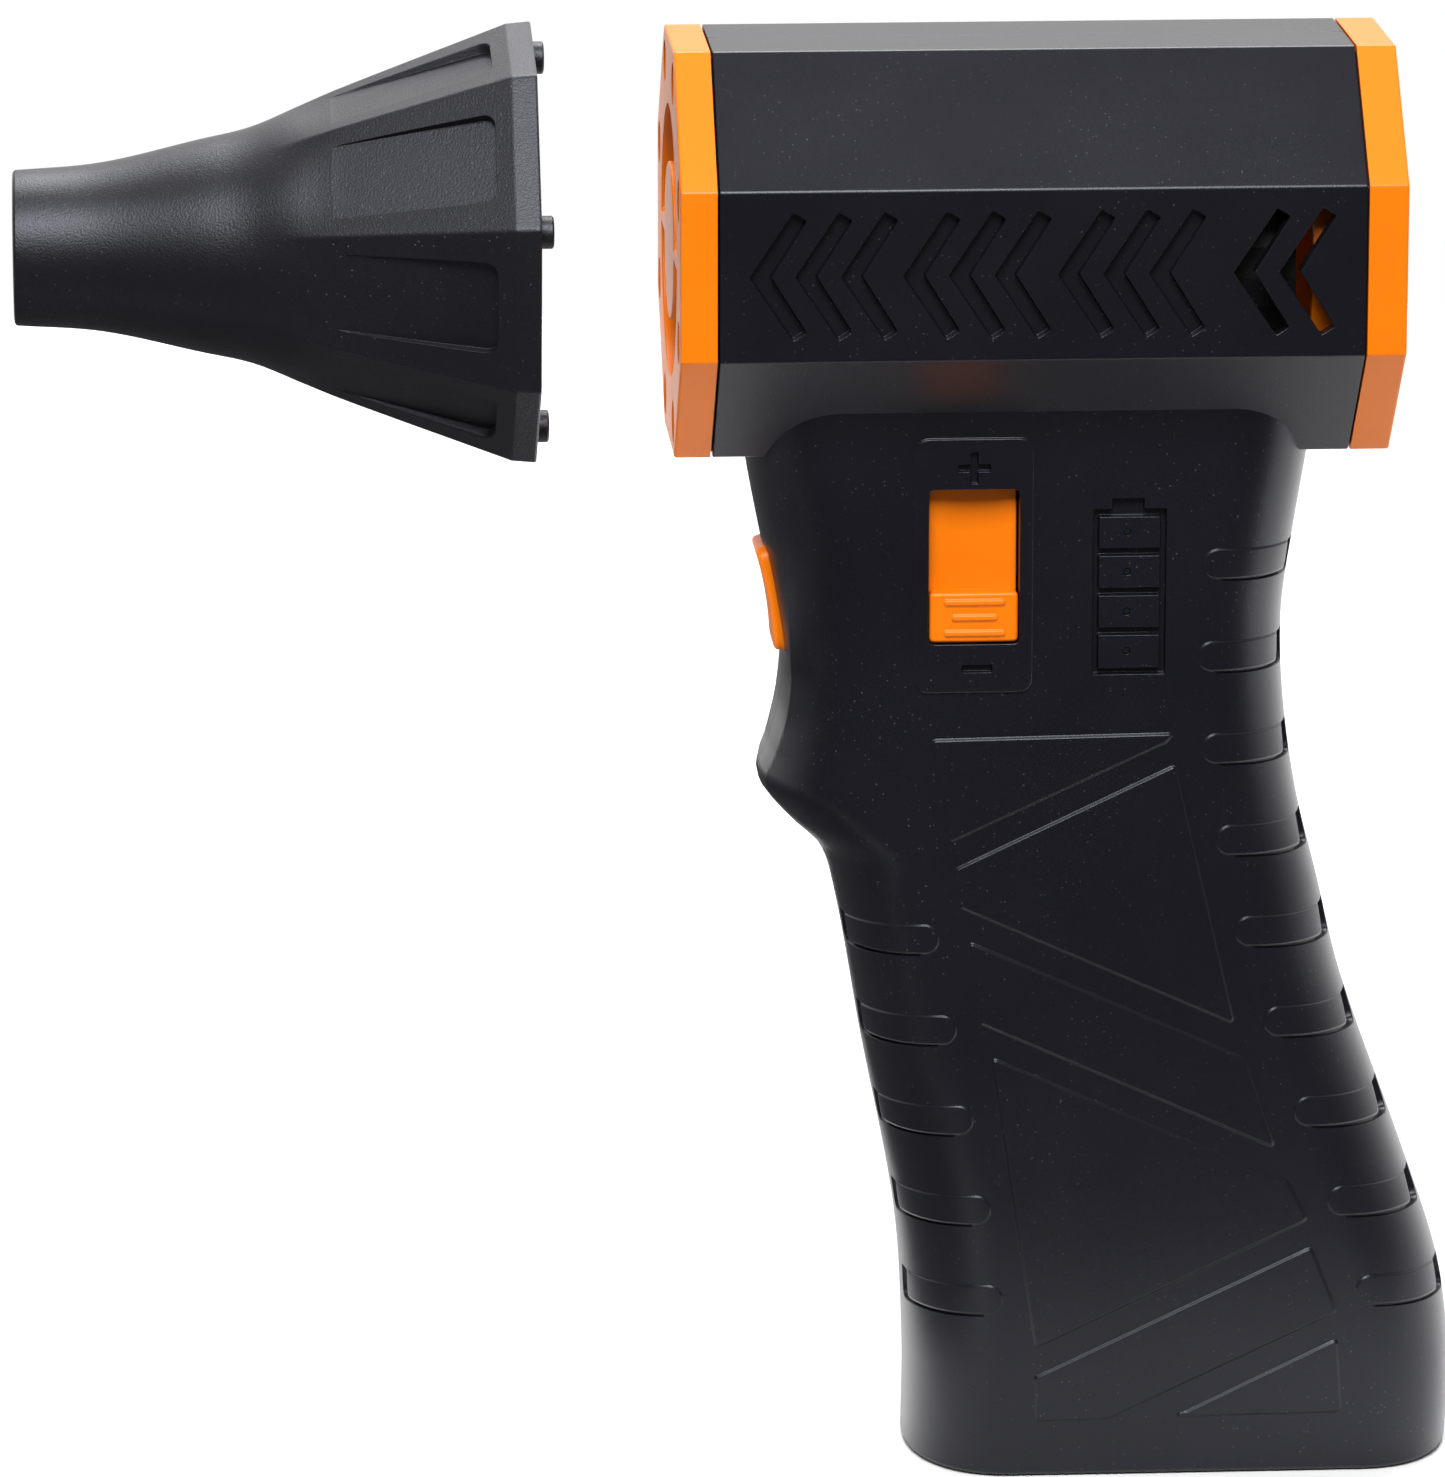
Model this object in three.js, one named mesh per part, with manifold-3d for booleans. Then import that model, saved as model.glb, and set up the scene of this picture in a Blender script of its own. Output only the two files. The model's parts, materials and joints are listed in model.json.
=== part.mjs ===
// A handheld turbo blower: an octagonal ducted-fan barrel on a pistol grip,
// with a slide-on concentrator nozzle drawn forward of the outlet.
//
// Units are millimetres. +Z is up, -X is the way the air blows and -Y is the
// left side. The origin is the middle of the grip's flat base.

import * as THREE from 'three';
import { mergeVertices } from 'three/addons/utils/BufferGeometryUtils.js';
import Module from 'manifold-3d';

const wasm = await Module();
wasm.setup();

// ---------------------------------------------------------------- dimensions

const GAP = 0.3;                 // left between pieces that touch
const AXIS_Z = 165.9;            // height of the fan's axis above the base
const APOTHEM = 27;              // half of the barrel's width across its flats
const WALL = 2.2;                // moulded wall
const OCTANT = Math.PI / 4;

const RING_FRONT_X = [-68.7, -63.9];
const SHELL_X = [-63.6, 20.5];
const RING_REAR_X = [20.8, 26.0];
const OUTLET_R = 18;
const HUB_R = 10.5;
const SPOKE_WIDTH = 1.7;
const CORNER_HOLE_R = 2.7;       // sockets for the nozzle's pegs
const CORNER_R = 24.3;           // pitch radius of the sockets and pegs
const SOCKET_DEPTH = 3.2;

const DUCT_R = [18.2, 20.5];
const DUCT_X = [-58.2, 12.1];
const CAN_R = [11.4, 12.6];
const CAN_X = [-49.4, -12];
const BULKHEAD_X = [-41, -39.5];
const VANES = 7;
const BLADES = 11;
const BLADE_TIP_R = 17.6;
const SHAFT_R = 1.25;
const STATOR_TEETH = 6;
const STATOR_X = [-34, -22];

const NOZZLE_BASE_X = -86.6;
const NOZZLE_MOUTH_X = -155;
const NOZZLE_WALL = 1.8;
const NOZZLE_BORE_R = 18.5;
const NOZZLE_TURN = -9 * Math.PI / 180;      // how far its corners are off the barrel's
const RIM_WIDTH = 3.3;
const FLANGE = 2.5;
const PEG_R = 2.15;
const PEG_LENGTH = 1.7;

const GRIP_HALF_WIDTH = [19.1, 18.3];        // at the base, and from HIGH_Z up
const HIGH_Z = 110;
const GRIP_NOSE = 13.5;                      // length of the rounded front and rear of the section
const GRIP_TOP_Z = 149;
const BASE_THICKNESS = 2.4;

const SLIDER_X = -29.6;                      // middle of the speed slider's window
const WINDOW = { width: 12, low: 114.9, high: 135.6, radius: 1 };
const PAD = { width: 11.6, low: 115.2, height: 6.6 };
const SLIDE_TRAVEL = 13.2;
const LED_X = -9.4;
const LED_Z = [129.7, 124.35, 119, 113.7];

const BUTTON = { x: -55.05, z: 118.2, lean: Math.atan2(2.9, 15.4), width: 11, height: 14, proud: 1.3 };
const SCREWS = [[-50, 131], [8, 131], [-48.5, 97], [8, 94], [31, 10]];   // x, z
const SCREW_R = 1.2;

const CELL_R = 9.1;
const CELL_LENGTH = 65;
const CELL_OFFSET_Y = 7.2;
const CELL_PITCH_X = 11.8;
const PACK = { x: -1.6, z: 10, lean: 11 * Math.PI / 180 };

const BOARD = { x: [-42, 2], y: [-4, -2.4], z: [100, 136] };

// Front and rear edges of the grip in the middle plane, as [z, x] pairs.
const FRONT_EDGE = [
  [0, -37.2], [14, -37.1], [32.4, -38.3], [57.2, -43], [76.7, -46.5], [84.4, -49], [89.2, -54],
  [93.5, -57], [98, -55.6], [104, -54], [110.5, -53.6], [125, -56.4], [136, -58.5], [150, -60.5],
];
const REAR_EDGE = [
  [0, 36.9], [6.6, 37.3], [15, 37.1], [26, 35.4], [41, 30.4], [65, 21.8], [79, 18.3], [91, 15.3],
  [104, 13.4], [116, 13], [127, 14.4], [137, 16], [150, 18],
];
// Outer radius of the nozzle along the axis, as [x, radius] pairs.
const NOZZLE_PROFILE = [
  [NOZZLE_MOUTH_X, 10.2], [-143.5, 11.1], [-130.5, 14], [-123.6, 15.6], [-117.3, 18.3],
  [-112.1, 20.5], [NOZZLE_BASE_X - RIM_WIDTH, 28.9], [NOZZLE_BASE_X, 29.2],
];

// ------------------------------------------------------------------- helpers

/** The value at t of a smooth curve through [t, value] pairs. */
function along(pairs, t) {
  let i = pairs.findIndex(([at]) => at > t) - 1;
  if (i < 0) i = t < pairs[0][0] ? 0 : pairs.length - 2;
  const slope = k => {
    const a = pairs[Math.max(k - 1, 0)];
    const b = pairs[Math.min(k + 1, pairs.length - 1)];
    return (b[1] - a[1]) / (b[0] - a[0]);
  };
  const [[t0, v0], [t1, v1]] = [pairs[i], pairs[i + 1]];
  const span = t1 - t0;
  const s = (t - t0) / span;
  const h = s * s * (3 - 2 * s);
  return v0 * (1 - h) + v1 * h
    + span * (slope(i) * s * (1 - s) ** 2 - slope(i + 1) * s * s * (1 - s));
}

/** Turn a closed geometry's faces outward if they point in. */
function outward(geometry) {
  const bare = geometry.clone();
  bare.deleteAttribute('normal');
  bare.deleteAttribute('uv');
  const merged = mergeVertices(bare, 1e-4);
  const p = merged.attributes.position;
  const index = merged.index.array;
  const [a, b, c] = [new THREE.Vector3(), new THREE.Vector3(), new THREE.Vector3()];
  const kept = [];
  let volume = 0;
  for (let i = 0; i < index.length; i += 3) {
    const [i0, i1, i2] = [index[i], index[i + 1], index[i + 2]];
    if (i0 === i1 || i1 === i2 || i2 === i0) continue;
    kept.push(i0, i1, i2);
    a.fromBufferAttribute(p, i0);
    b.fromBufferAttribute(p, i1);
    c.fromBufferAttribute(p, i2);
    volume += a.dot(b.cross(c)) / 6;
  }
  if (volume < 0) kept.reverse();
  merged.setIndex(kept);
  return merged;
}

function toSolid(geometry) {
  const closed = outward(geometry);
  return new wasm.Manifold(new wasm.Mesh({
    numProp: 3,
    vertProperties: Float32Array.from(closed.attributes.position.array),
    triVerts: Uint32Array.from(closed.index.array),
  }));
}

function toGeometry(body) {
  const mesh = body.getMesh();
  const geometry = new THREE.BufferGeometry();
  geometry.setAttribute('position', new THREE.BufferAttribute(mesh.vertProperties, 3));
  geometry.setIndex(new THREE.BufferAttribute(mesh.triVerts, 1));
  return geometry;
}

const joined = (...solids) => solids.reduce((a, b) => a.add(b));
const cut = (body, ...tools) => tools.reduce((a, b) => a.subtract(b), body);

/** An outline in (y, z) carried along X. */
function prismX(shape, x0, x1, curveSegments = 6) {
  const g = new THREE.ExtrudeGeometry(shape, { depth: x1 - x0, bevelEnabled: false, curveSegments });
  const turn = new THREE.Matrix4().makeBasis(
    new THREE.Vector3(0, 1, 0), new THREE.Vector3(0, 0, 1), new THREE.Vector3(1, 0, 0));
  return g.applyMatrix4(turn).translate(x0, 0, 0);
}

/** An outline in (x, z) carried along Y. */
function prismY(shape, y0, y1, curveSegments = 6) {
  const g = new THREE.ExtrudeGeometry(shape, { depth: y1 - y0, bevelEnabled: false, curveSegments });
  return g.rotateX(Math.PI / 2).translate(0, y1, 0);
}

/** An outline in (x, y) carried along Z. */
function prismZ(shape, z0, z1, curveSegments = 6) {
  const g = new THREE.ExtrudeGeometry(shape, { depth: z1 - z0, bevelEnabled: false, curveSegments });
  return g.translate(0, 0, z0);
}

function box(x, y, z) {
  return new THREE.BoxGeometry(x[1] - x[0], y[1] - y[0], z[1] - z[0])
    .translate((x[0] + x[1]) / 2, (y[0] + y[1]) / 2, (z[0] + z[1]) / 2);
}

/** A closed profile of [radius, x] pairs turned about the X axis. */
function turned(profile, segments = 24) {
  const points = profile.map(([r, x]) => new THREE.Vector2(r, x));
  return new THREE.LatheGeometry(points, segments).rotateZ(-Math.PI / 2).rotateX(Math.PI / segments);
}

const disc = (r, x, segments) => turned([[0, x[0]], [r, x[0]], [r, x[1]], [0, x[1]]], segments);
const tube = (r, x, segments) => turned(
  [[r[0], x[0]], [r[1], x[0]], [r[1], x[1]], [r[0], x[1]], [r[0], x[0]]], segments);

/** A round bar along Y through (x, z). */
function barY(r, x, z, y0, y1, segments = 12) {
  return new THREE.CylinderGeometry(r, r, y1 - y0, segments).translate(x, (y0 + y1) / 2, z);
}

function polygon(points) {
  return new THREE.Shape(points.map(([u, v]) => new THREE.Vector2(u, v)));
}

function octagon(apothem) {
  const radius = apothem / Math.cos(OCTANT / 2);
  return polygon(Array.from({ length: 8 }, (_, k) => {
    const a = OCTANT * (k + 0.5);
    return [radius * Math.cos(a), radius * Math.sin(a)];
  }));
}

function roundedRect(width, height, radius, u = 0, v = 0) {
  const [w, h] = [width / 2, height / 2];
  const s = new THREE.Shape();
  s.moveTo(u - w + radius, v - h);
  s.lineTo(u + w - radius, v - h);
  s.absarc(u + w - radius, v - h + radius, radius, -Math.PI / 2, 0, false);
  s.lineTo(u + w, v + h - radius);
  s.absarc(u + w - radius, v + h - radius, radius, 0, Math.PI / 2, false);
  s.lineTo(u - w + radius, v + h);
  s.absarc(u - w + radius, v + h - radius, radius, Math.PI / 2, Math.PI, false);
  s.lineTo(u - w, v - h + radius);
  s.absarc(u - w + radius, v - h + radius, radius, Math.PI, Math.PI * 1.5, false);
  return s;
}

/** A closed skin over rings of equal length, with a fan over each end. */
function loft(rings) {
  const n = rings[0].length;
  const positions = rings.flat();
  const index = [];
  for (let i = 0; i + 1 < rings.length; i++) {
    for (let k = 0; k < n; k++) {
      const [a, b] = [i * n + k, i * n + (k + 1) % n];
      index.push(a, b, b + n, a, b + n, a + n);
    }
  }
  for (const [ring, offset, flip] of [[rings[0], 0, true], [rings.at(-1), (rings.length - 1) * n, false]]) {
    const middle = [0, 1, 2].map(c => ring.reduce((sum, point) => sum + point[c], 0) / n);
    const at = positions.push(middle) - 1;
    for (let k = 0; k < n; k++) {
      const [a, b] = [offset + k, offset + (k + 1) % n];
      if (flip) index.push(at, b, a);
      else index.push(at, a, b);
    }
  }
  const geometry = new THREE.BufferGeometry();
  geometry.setAttribute('position', new THREE.Float32BufferAttribute(positions.flat(), 3));
  geometry.setIndex(index);
  return geometry;
}

const FINISHES = {
  black: [0x232329, 0.5, 0],
  orange: [0xff8c00, 0.45, 0],
  nozzle: [0x34323a, 0.6, 0],
  duct: [0x3a3b40, 0.6, 0],
  steel: [0xb8bbc0, 0.3, 1],
  dark_steel: [0x55585e, 0.4, 1],
  magnet: [0x44464a, 0.5, 1],
  copper: [0xb5652c, 0.35, 1],
  rubber: [0x161618, 0.85, 0],
  board: [0x1d5c38, 0.6, 0],
  part_black: [0x1b1b1d, 0.55, 0],
  cell: [0x2f7fb8, 0.45, 0],
  paper: [0xb9bdb2, 0.9, 0],
  clear: [0xe9eef2, 0.2, 0],
  lamp: [0xf3f1de, 0.3, 0],
  red_wire: [0xb3201a, 0.5, 0],
  black_wire: [0x202022, 0.5, 0],
  yellow_wire: [0xe0b520, 0.5, 0],
  blue_wire: [0x2257b8, 0.5, 0],
};

const blower = new THREE.Group();
const barrel = new THREE.Group();
barrel.position.z = AXIS_Z;
blower.add(barrel);

function place(group, name, finish, geometry) {
  const [color, roughness, metalness] = FINISHES[finish];
  const body = geometry instanceof THREE.BufferGeometry ? outward(geometry) : toGeometry(geometry);
  const mesh = new THREE.Mesh(body, new THREE.MeshStandardMaterial({ color, roughness, metalness }));
  mesh.name = name;
  group.add(mesh);
  return mesh;
}

// -------------------------------------------------------------------- casing

/** One level of the grip: straight sides between a rounded front and rear. */
function gripRing(z, inset) {
  const power = 2 / 2.25;
  const steps = 8;
  const front = along(FRONT_EDGE, z) + inset;
  const rear = along(REAR_EDGE, z) - inset;
  const [low, high] = GRIP_HALF_WIDTH;
  const half = THREE.MathUtils.lerp(low, high, Math.min(z / HIGH_Z, 1)) - inset;
  const bend = GRIP_NOSE - inset;
  const ring = [];
  for (const [tip, side] of [[rear, 1], [front, -1]]) {
    for (let k = 0; k <= steps; k++) {
      const a = Math.PI * (k / steps - 0.5);
      const out = bend * Math.abs(Math.cos(a)) ** power;
      const across = half * Math.sign(Math.sin(a)) * Math.abs(Math.sin(a)) ** power;
      ring.push([tip + side * (out - bend), side * across, z]);
    }
  }
  return ring;
}

const GRIP_LEVELS = [10, 22, 36, 50, 64, 76.7, 84.4, 89.2, 93.5, 98, 104, 110.5, 125, 138];
const gripOuter = toSolid(loft([
  gripRing(0, 0.8), gripRing(0.8, 0), ...GRIP_LEVELS.map(z => gripRing(z, 0)), gripRing(GRIP_TOP_Z, 0),
]));
const gripInner = toSolid(loft([
  gripRing(BASE_THICKNESS, WALL), ...GRIP_LEVELS.map(z => gripRing(z, WALL)), gripRing(GRIP_TOP_Z + 2, WALL),
]));

/** A vent shaped as an arrow head that points along the air flow. */
function arrow(tipX) {
  const z = AXIS_Z;
  return polygon([
    [tipX, z], [tipX + 5.6, z + 8.4], [tipX + 7.4, z + 7.2], [tipX + 2.6, z],
    [tipX + 7.4, z - 7.2], [tipX + 5.6, z - 8.4],
  ]);
}

/** The power button's frame: +X is into the grip, at right angles to its face. */
function atButton(geometry) {
  return geometry.rotateY(-BUTTON.lean).translate(BUTTON.x, 0, BUTTON.z);
}

function casing() {
  const [x0, x1] = SHELL_X;
  const outer = toSolid(prismX(octagon(APOTHEM), x0, x1).translate(0, 0, AXIS_Z));
  const bore = toSolid(prismX(octagon(APOTHEM - WALL), x0 - 1, x1 + 1).translate(0, 0, AXIS_Z));
  const buttonHole = atButton(prismX(roundedRect(BUTTON.width + 0.8, BUTTON.height + 0.8, 2), -4, 4, 3));
  const socketHole = prismZ(roundedRect(3.8, 9.6, 1.8, -31.9, 0), -1, BASE_THICKNESS + 1, 3);
  const vents = [3.2, 9.1].map(x => toSolid(prismY(arrow(x), -APOTHEM - 1, APOTHEM + 1)));
  return cut(joined(outer, gripOuter), bore, gripInner, toSolid(buttonHole), toSolid(socketHole), ...vents);
}

/** The tongue by which the left half of the base locks into the right half. */
const tongue = clearance => toSolid(box(
  [-9 - clearance, 9 + clearance], [-1, 4 + clearance], [-clearance, BASE_THICKNESS + clearance]));

function halfSpace(side) {
  const edges = side < 0 ? [-60, -GAP / 2] : [GAP / 2, 60];
  return toSolid(box([-200, 60], edges, [-5, 220]));
}

/** Screw pillars of one half, trimmed to the casing's outer shape. */
function pillars(side) {
  const reach = side < 0 ? [-40, -GAP] : [GAP, 40];
  const [x0, x1] = SHELL_X;
  const envelope = joined(gripOuter, toSolid(prismX(octagon(APOTHEM), x0, x1).translate(0, 0, AXIS_Z)));
  return joined(...SCREWS.map(([x, z]) => toSolid(barY(3.1, x, z, ...reach, 12)))).intersect(envelope);
}

function leftShell(shape) {
  const holes = [
    ...SCREWS.map(([x, z]) => toSolid(barY(SCREW_R + GAP, x, z, -11, 1, 8))),
    ...LED_Z.map(z => toSolid(barY(0.8, LED_X, z, -25, -10, 8))),
    toSolid(prismY(roundedRect(WINDOW.width, WINDOW.high - WINDOW.low, WINDOW.radius,
      SLIDER_X, (WINDOW.high + WINDOW.low) / 2), -22, -10, 2)),
  ];
  return cut(joined(shape.intersect(halfSpace(-1)), pillars(-1), tongue(0)), ...holes);
}

function rightShell(shape) {
  const holes = SCREWS.flatMap(([x, z]) => [
    toSolid(barY(SCREW_R + GAP, x, z, -1, 30, 8)),
    toSolid(barY(2.5, x, z, 9, 30, 12)),
  ]);
  return cut(joined(shape.intersect(halfSpace(1)), pillars(1)), tongue(GAP), ...holes);
}

const wholeCasing = casing();
place(blower, 'left_shell', 'black', leftShell(wholeCasing));
place(blower, 'right_shell', 'black', rightShell(wholeCasing));

SCREWS.forEach(([x, z], k) => {
  const head = new THREE.CylinderGeometry(2.1, 2.1, 1.6, 12).translate(x, 9 + GAP + 0.8, z);
  const shank = barY(SCREW_R, x, z, -10, 10, 8);
  place(blower, `shell_screw_${k + 1}`, 'dark_steel', joined(toSolid(head), toSolid(shank)));
});

// --------------------------------------------------------------------- rings

function cornerSockets() {
  return Array.from({ length: 8 }, (_, k) => {
    const a = OCTANT * (k + 0.5);
    return toSolid(disc(CORNER_HOLE_R, [RING_FRONT_X[0] - 1, RING_FRONT_X[0] + SOCKET_DEPTH], 12)
      .translate(0, CORNER_R * Math.cos(a), CORNER_R * Math.sin(a)));
  });
}

function frontRing() {
  const [x0, x1] = RING_FRONT_X;
  const plate = toSolid(prismX(octagon(APOTHEM), x0, x1));
  const spigot = toSolid(disc(22, [x1 - 1, DUCT_X[0] - GAP], 32));
  const bore = toSolid(disc(OUTLET_R, [x0 - 1, x1 + 8], 32));
  const hub = toSolid(disc(HUB_R, [x0, x0 + 2.5], 24));
  const spoke = toSolid(box([x0, x0 + 2.5], [-OUTLET_R - 1, OUTLET_R + 1], [-SPOKE_WIDTH / 2, SPOKE_WIDTH / 2]));
  return cut(joined(cut(joined(plate, spigot), bore), hub, spoke), ...cornerSockets());
}

function rearRing() {
  const [x0, x1] = RING_REAR_X;
  const plate = toSolid(prismX(octagon(APOTHEM), x0, x1));
  const sleeve = toSolid(disc(22, [14.2, x0 + 1], 32));
  const wideBore = toSolid(disc(20.4, [0, x0], 32));
  const bore = toSolid(disc(20, [x0 - 1, x1 + 1], 32));
  return cut(joined(plate, sleeve), wideBore, bore);
}

/** Round guard over the intake, with arc-shaped slots in rows. */
function intakeGrille() {
  const arc = (r, a0, a1, steps) => Array.from({ length: steps + 1 }, (_, i) => {
    const a = THREE.MathUtils.lerp(a0, a1, i / steps);
    return [r * Math.cos(a), r * Math.sin(a)];
  });
  const face = polygon(arc(20 - GAP, 0, 2 * Math.PI, 32).slice(1));
  const rows = [[4.6, 8.2, 5], [9.8, 13.2, 8], [14.8, 18, 11]];   // inner radius, outer radius, slots
  for (const [r0, r1, count] of rows) {
    for (let k = 0; k < count; k++) {
      const bar = 0.8 / r1;
      const a0 = 2 * Math.PI * k / count + bar;
      const a1 = 2 * Math.PI * (k + 1) / count - bar;
      face.holes.push(polygon([...arc(r1, a0, a1, 2), ...arc(r0, a1, a0, 2)]));
    }
  }
  return prismX(face, 22.4, 24.2);
}

place(barrel, 'front_ring', 'orange', frontRing());
place(barrel, 'rear_ring', 'orange', rearRing());
place(barrel, 'intake_grille', 'black', intakeGrille());

// ---------------------------------------------------------------- duct, motor

function airDuct() {
  const [r0, r1] = DUCT_R;
  const wall = toSolid(tube([r0, r1], DUCT_X, 32));
  const can = toSolid(tube(CAN_R, CAN_X, 24));
  const bulkhead = toSolid(tube([4.4, CAN_R[0] + 0.5], BULKHEAD_X, 24));
  const vanes = Array.from({ length: VANES }, (_, k) => toSolid(
    box([-38, -18], [-0.6, 0.6], [CAN_R[0] + 0.4, r0 + 0.8])
      .rotateX(2 * Math.PI * (k + 0.5) / VANES)));
  const leadHole = toSolid(box([-48.4, -43], [-4, 4], [-r1 - 1, -CAN_R[0] + 0.8]));
  return cut(joined(wall, can, bulkhead, ...vanes), leadHole);
}

place(barrel, 'air_duct', 'duct', airDuct());
place(barrel, 'tail_cone', 'duct', turned([
  [0, -65.9], [HUB_R, -65.9], [11.6, -58], [12.6, -49.7], [11.2, -49.7], [10.4, -57], [0, -60],
], 24));
place(barrel, 'front_gasket', 'rubber', tube([DUCT_R[1] + GAP, 24.4], [-57.5, -54], 24));
place(barrel, 'rear_gasket', 'rubber', tube([DUCT_R[1] + GAP, 24.4], [-3.5, 0], 24));

place(barrel, 'motor_base', 'steel', turned([
  [2.8, -43], [9.5, -43], [9.5, -41.3], [3.3, -41.3], [3.3, -20], [2.8, -20], [2.8, -43],
], 20));
place(barrel, 'front_bearing', 'steel', tube([SHAFT_R + 0.3, 2.5], [-41.5, -39.5], 16));
place(barrel, 'rear_bearing', 'steel', tube([SHAFT_R + 0.3, 2.5], [-23, -21], 16));
place(barrel, 'motor_shaft', 'steel', disc(SHAFT_R, [-42.5, 9], 12));
place(barrel, 'motor_bell', 'dark_steel', turned([
  [10, -35.5], [10.9, -35.5], [10.9, -17.4], [SHAFT_R + 0.3, -17.4], [SHAFT_R + 0.3, -19], [10, -19], [10, -35.5],
], 24));
place(barrel, 'magnet_ring', 'magnet', tube([8.9, 9.7], [-34.5, -21.5], 24));

/** Laminated core: a hub ring with teeth that end in wide shoes. */
function statorCore() {
  const outline = [];
  const polar = (r, a) => [r * Math.cos(a), r * Math.sin(a)];
  for (let k = 0; k < STATOR_TEETH; k++) {
    const a = 2 * Math.PI * k / STATOR_TEETH;
    const half = 0.8;
    for (const [r, side] of [[4.7, -1], [7.4, -1]]) outline.push(polar(r, a + side * Math.asin(half / r)));
    for (const da of [-0.36, -0.12, 0.12, 0.36]) outline.push(polar(8.4, a + da));
    for (const [r, side] of [[7.4, 1], [4.7, 1]]) outline.push(polar(r, a + side * Math.asin(half / r)));
  }
  const shape = polygon(outline);
  shape.holes.push(new THREE.Path().absarc(0, 0, 3.6, 0, 2 * Math.PI, true));
  return prismX(shape, ...STATOR_X, 8);
}

place(barrel, 'stator_core', 'dark_steel', statorCore());
for (let k = 0; k < STATOR_TEETH; k++) {
  const outer = toSolid(box([STATOR_X[0] - 1.4, STATOR_X[1] + 1.4], [-2.1, 2.1], [5.2, 7.1]));
  const tooth = toSolid(box([STATOR_X[0] - GAP, STATOR_X[1] + GAP], [-0.8 - GAP, 0.8 + GAP], [4, 9]));
  const coil = toGeometry(outer.subtract(tooth)).rotateX(2 * Math.PI * k / STATOR_TEETH - Math.PI / 2);
  place(barrel, `winding_${k + 1}`, 'copper', coil);
}

/** A curved blade: a thin plate that winds round the hub as it goes back. */
function blade(start) {
  const stations = 4;
  const rings = Array.from({ length: stations + 1 }, (_, i) => {
    const t = i / stations;
    const x = THREE.MathUtils.lerp(-10.5, 4.5, t);
    const inner = 6;
    const tip = THREE.MathUtils.lerp(BLADE_TIP_R, BLADE_TIP_R - 1.2, t * t);
    const a = start + 1.1 * t * (1.4 - 0.4 * t);
    const half = 0.45;
    return [[inner, -1], [tip, -1], [tip, 1], [inner, 1]].map(([r, side]) => {
      const angle = a + side * half / r;
      return [x, r * Math.cos(angle), r * Math.sin(angle)];
    });
  });
  return toSolid(loft(rings));
}

function impeller() {
  const hub = toSolid(turned([
    [0, -11.3], [12.3, -11.3], [12.1, -7], [10.8, -2], [8.2, 3], [5.2, 6], [0, 6],
  ], 18));
  const blades = Array.from({ length: BLADES }, (_, k) => blade(2 * Math.PI * k / BLADES));
  const bore = toSolid(disc(SHAFT_R + GAP, [-13, 8], 12));
  return cut(joined(hub, ...blades), bore);
}

place(barrel, 'impeller', 'duct', impeller());
place(barrel, 'impeller_nut', 'steel', turned([
  [SHAFT_R + GAP, 6.3], [3.4, 6.3], [3.4, 8.6], [2.2, 10.4], [0, 11], [0, 9.3], [SHAFT_R + GAP, 9.3],
  [SHAFT_R + GAP, 6.3],
], 6));

// -------------------------------------------------------------------- nozzle

/** One ring of the nozzle: an octagon at the base that turns round at the neck. */
function nozzleRing(x, radius) {
  const n = 24;
  const round = THREE.MathUtils.smoothstep(-x, 112, 123);
  return Array.from({ length: n }, (_, k) => {
    const a = 2 * Math.PI * k / n;
    const toFlat = ((a / OCTANT) % 1 - 0.5) * OCTANT;
    const flat = Math.cos(OCTANT / 2) / Math.cos(toFlat);
    const r = radius * THREE.MathUtils.lerp(flat, 1, round);
    return [x, r * Math.cos(a), r * Math.sin(a)];
  });
}

function nozzle() {
  const skin = toSolid(loft(NOZZLE_PROFILE.map(([x, r]) => nozzleRing(x, r))));
  const inside = NOZZLE_PROFILE.slice(1, -2).map(([x, r]) => nozzleRing(x, r - NOZZLE_WALL));
  const hollow = toSolid(loft([
    nozzleRing(NOZZLE_MOUTH_X - 1, 10.1 - 1.4), ...inside,
    nozzleRing(NOZZLE_BASE_X - FLANGE, 29 - NOZZLE_WALL),
  ]));
  const bore = toSolid(disc(NOZZLE_BORE_R, [NOZZLE_BASE_X - FLANGE - 1, NOZZLE_BASE_X + 1], 32));
  const groove = toSolid(tube([19.7, 21.9], [NOZZLE_BASE_X - 1.2, NOZZLE_BASE_X + 1], 24));
  const pegs = Array.from({ length: 4 }, (_, k) => {
    const a = 2 * OCTANT * k;
    return toSolid(disc(PEG_R, [NOZZLE_BASE_X - 1, NOZZLE_BASE_X + PEG_LENGTH], 12)
      .translate(0, CORNER_R * Math.cos(a), CORNER_R * Math.sin(a)));
  });
  // A corner stands at the angle of the barrel's left upper corner, less the turn.
  const corner = Math.PI - OCTANT / 2 - NOZZLE_TURN;
  return toGeometry(joined(cut(skin, hollow, bore, groove), ...pegs)).rotateX(corner);
}

place(barrel, 'nozzle', 'nozzle', nozzle());
place(barrel, 'nozzle_gasket', 'rubber', tube([20, 21.6], [NOZZLE_BASE_X - 0.9, NOZZLE_BASE_X], 24));

// ------------------------------------------------------------------ controls

place(blower, 'power_button', 'orange', joined(
  toSolid(atButton(prismX(roundedRect(BUTTON.width, BUTTON.height, 2), -BUTTON.proud, 4, 3))),
  toSolid(atButton(prismX(roundedRect(BUTTON.width, BUTTON.height + 2.6, 2), 3.6, 4.4, 3))),
));
place(blower, 'switch_plunger', 'part_black', atButton(disc(1.7, [4.7, 5.8], 12)));
place(blower, 'power_switch', 'part_black', atButton(box([7, 10.2], [-3, 3], [-3, 3])));

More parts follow.
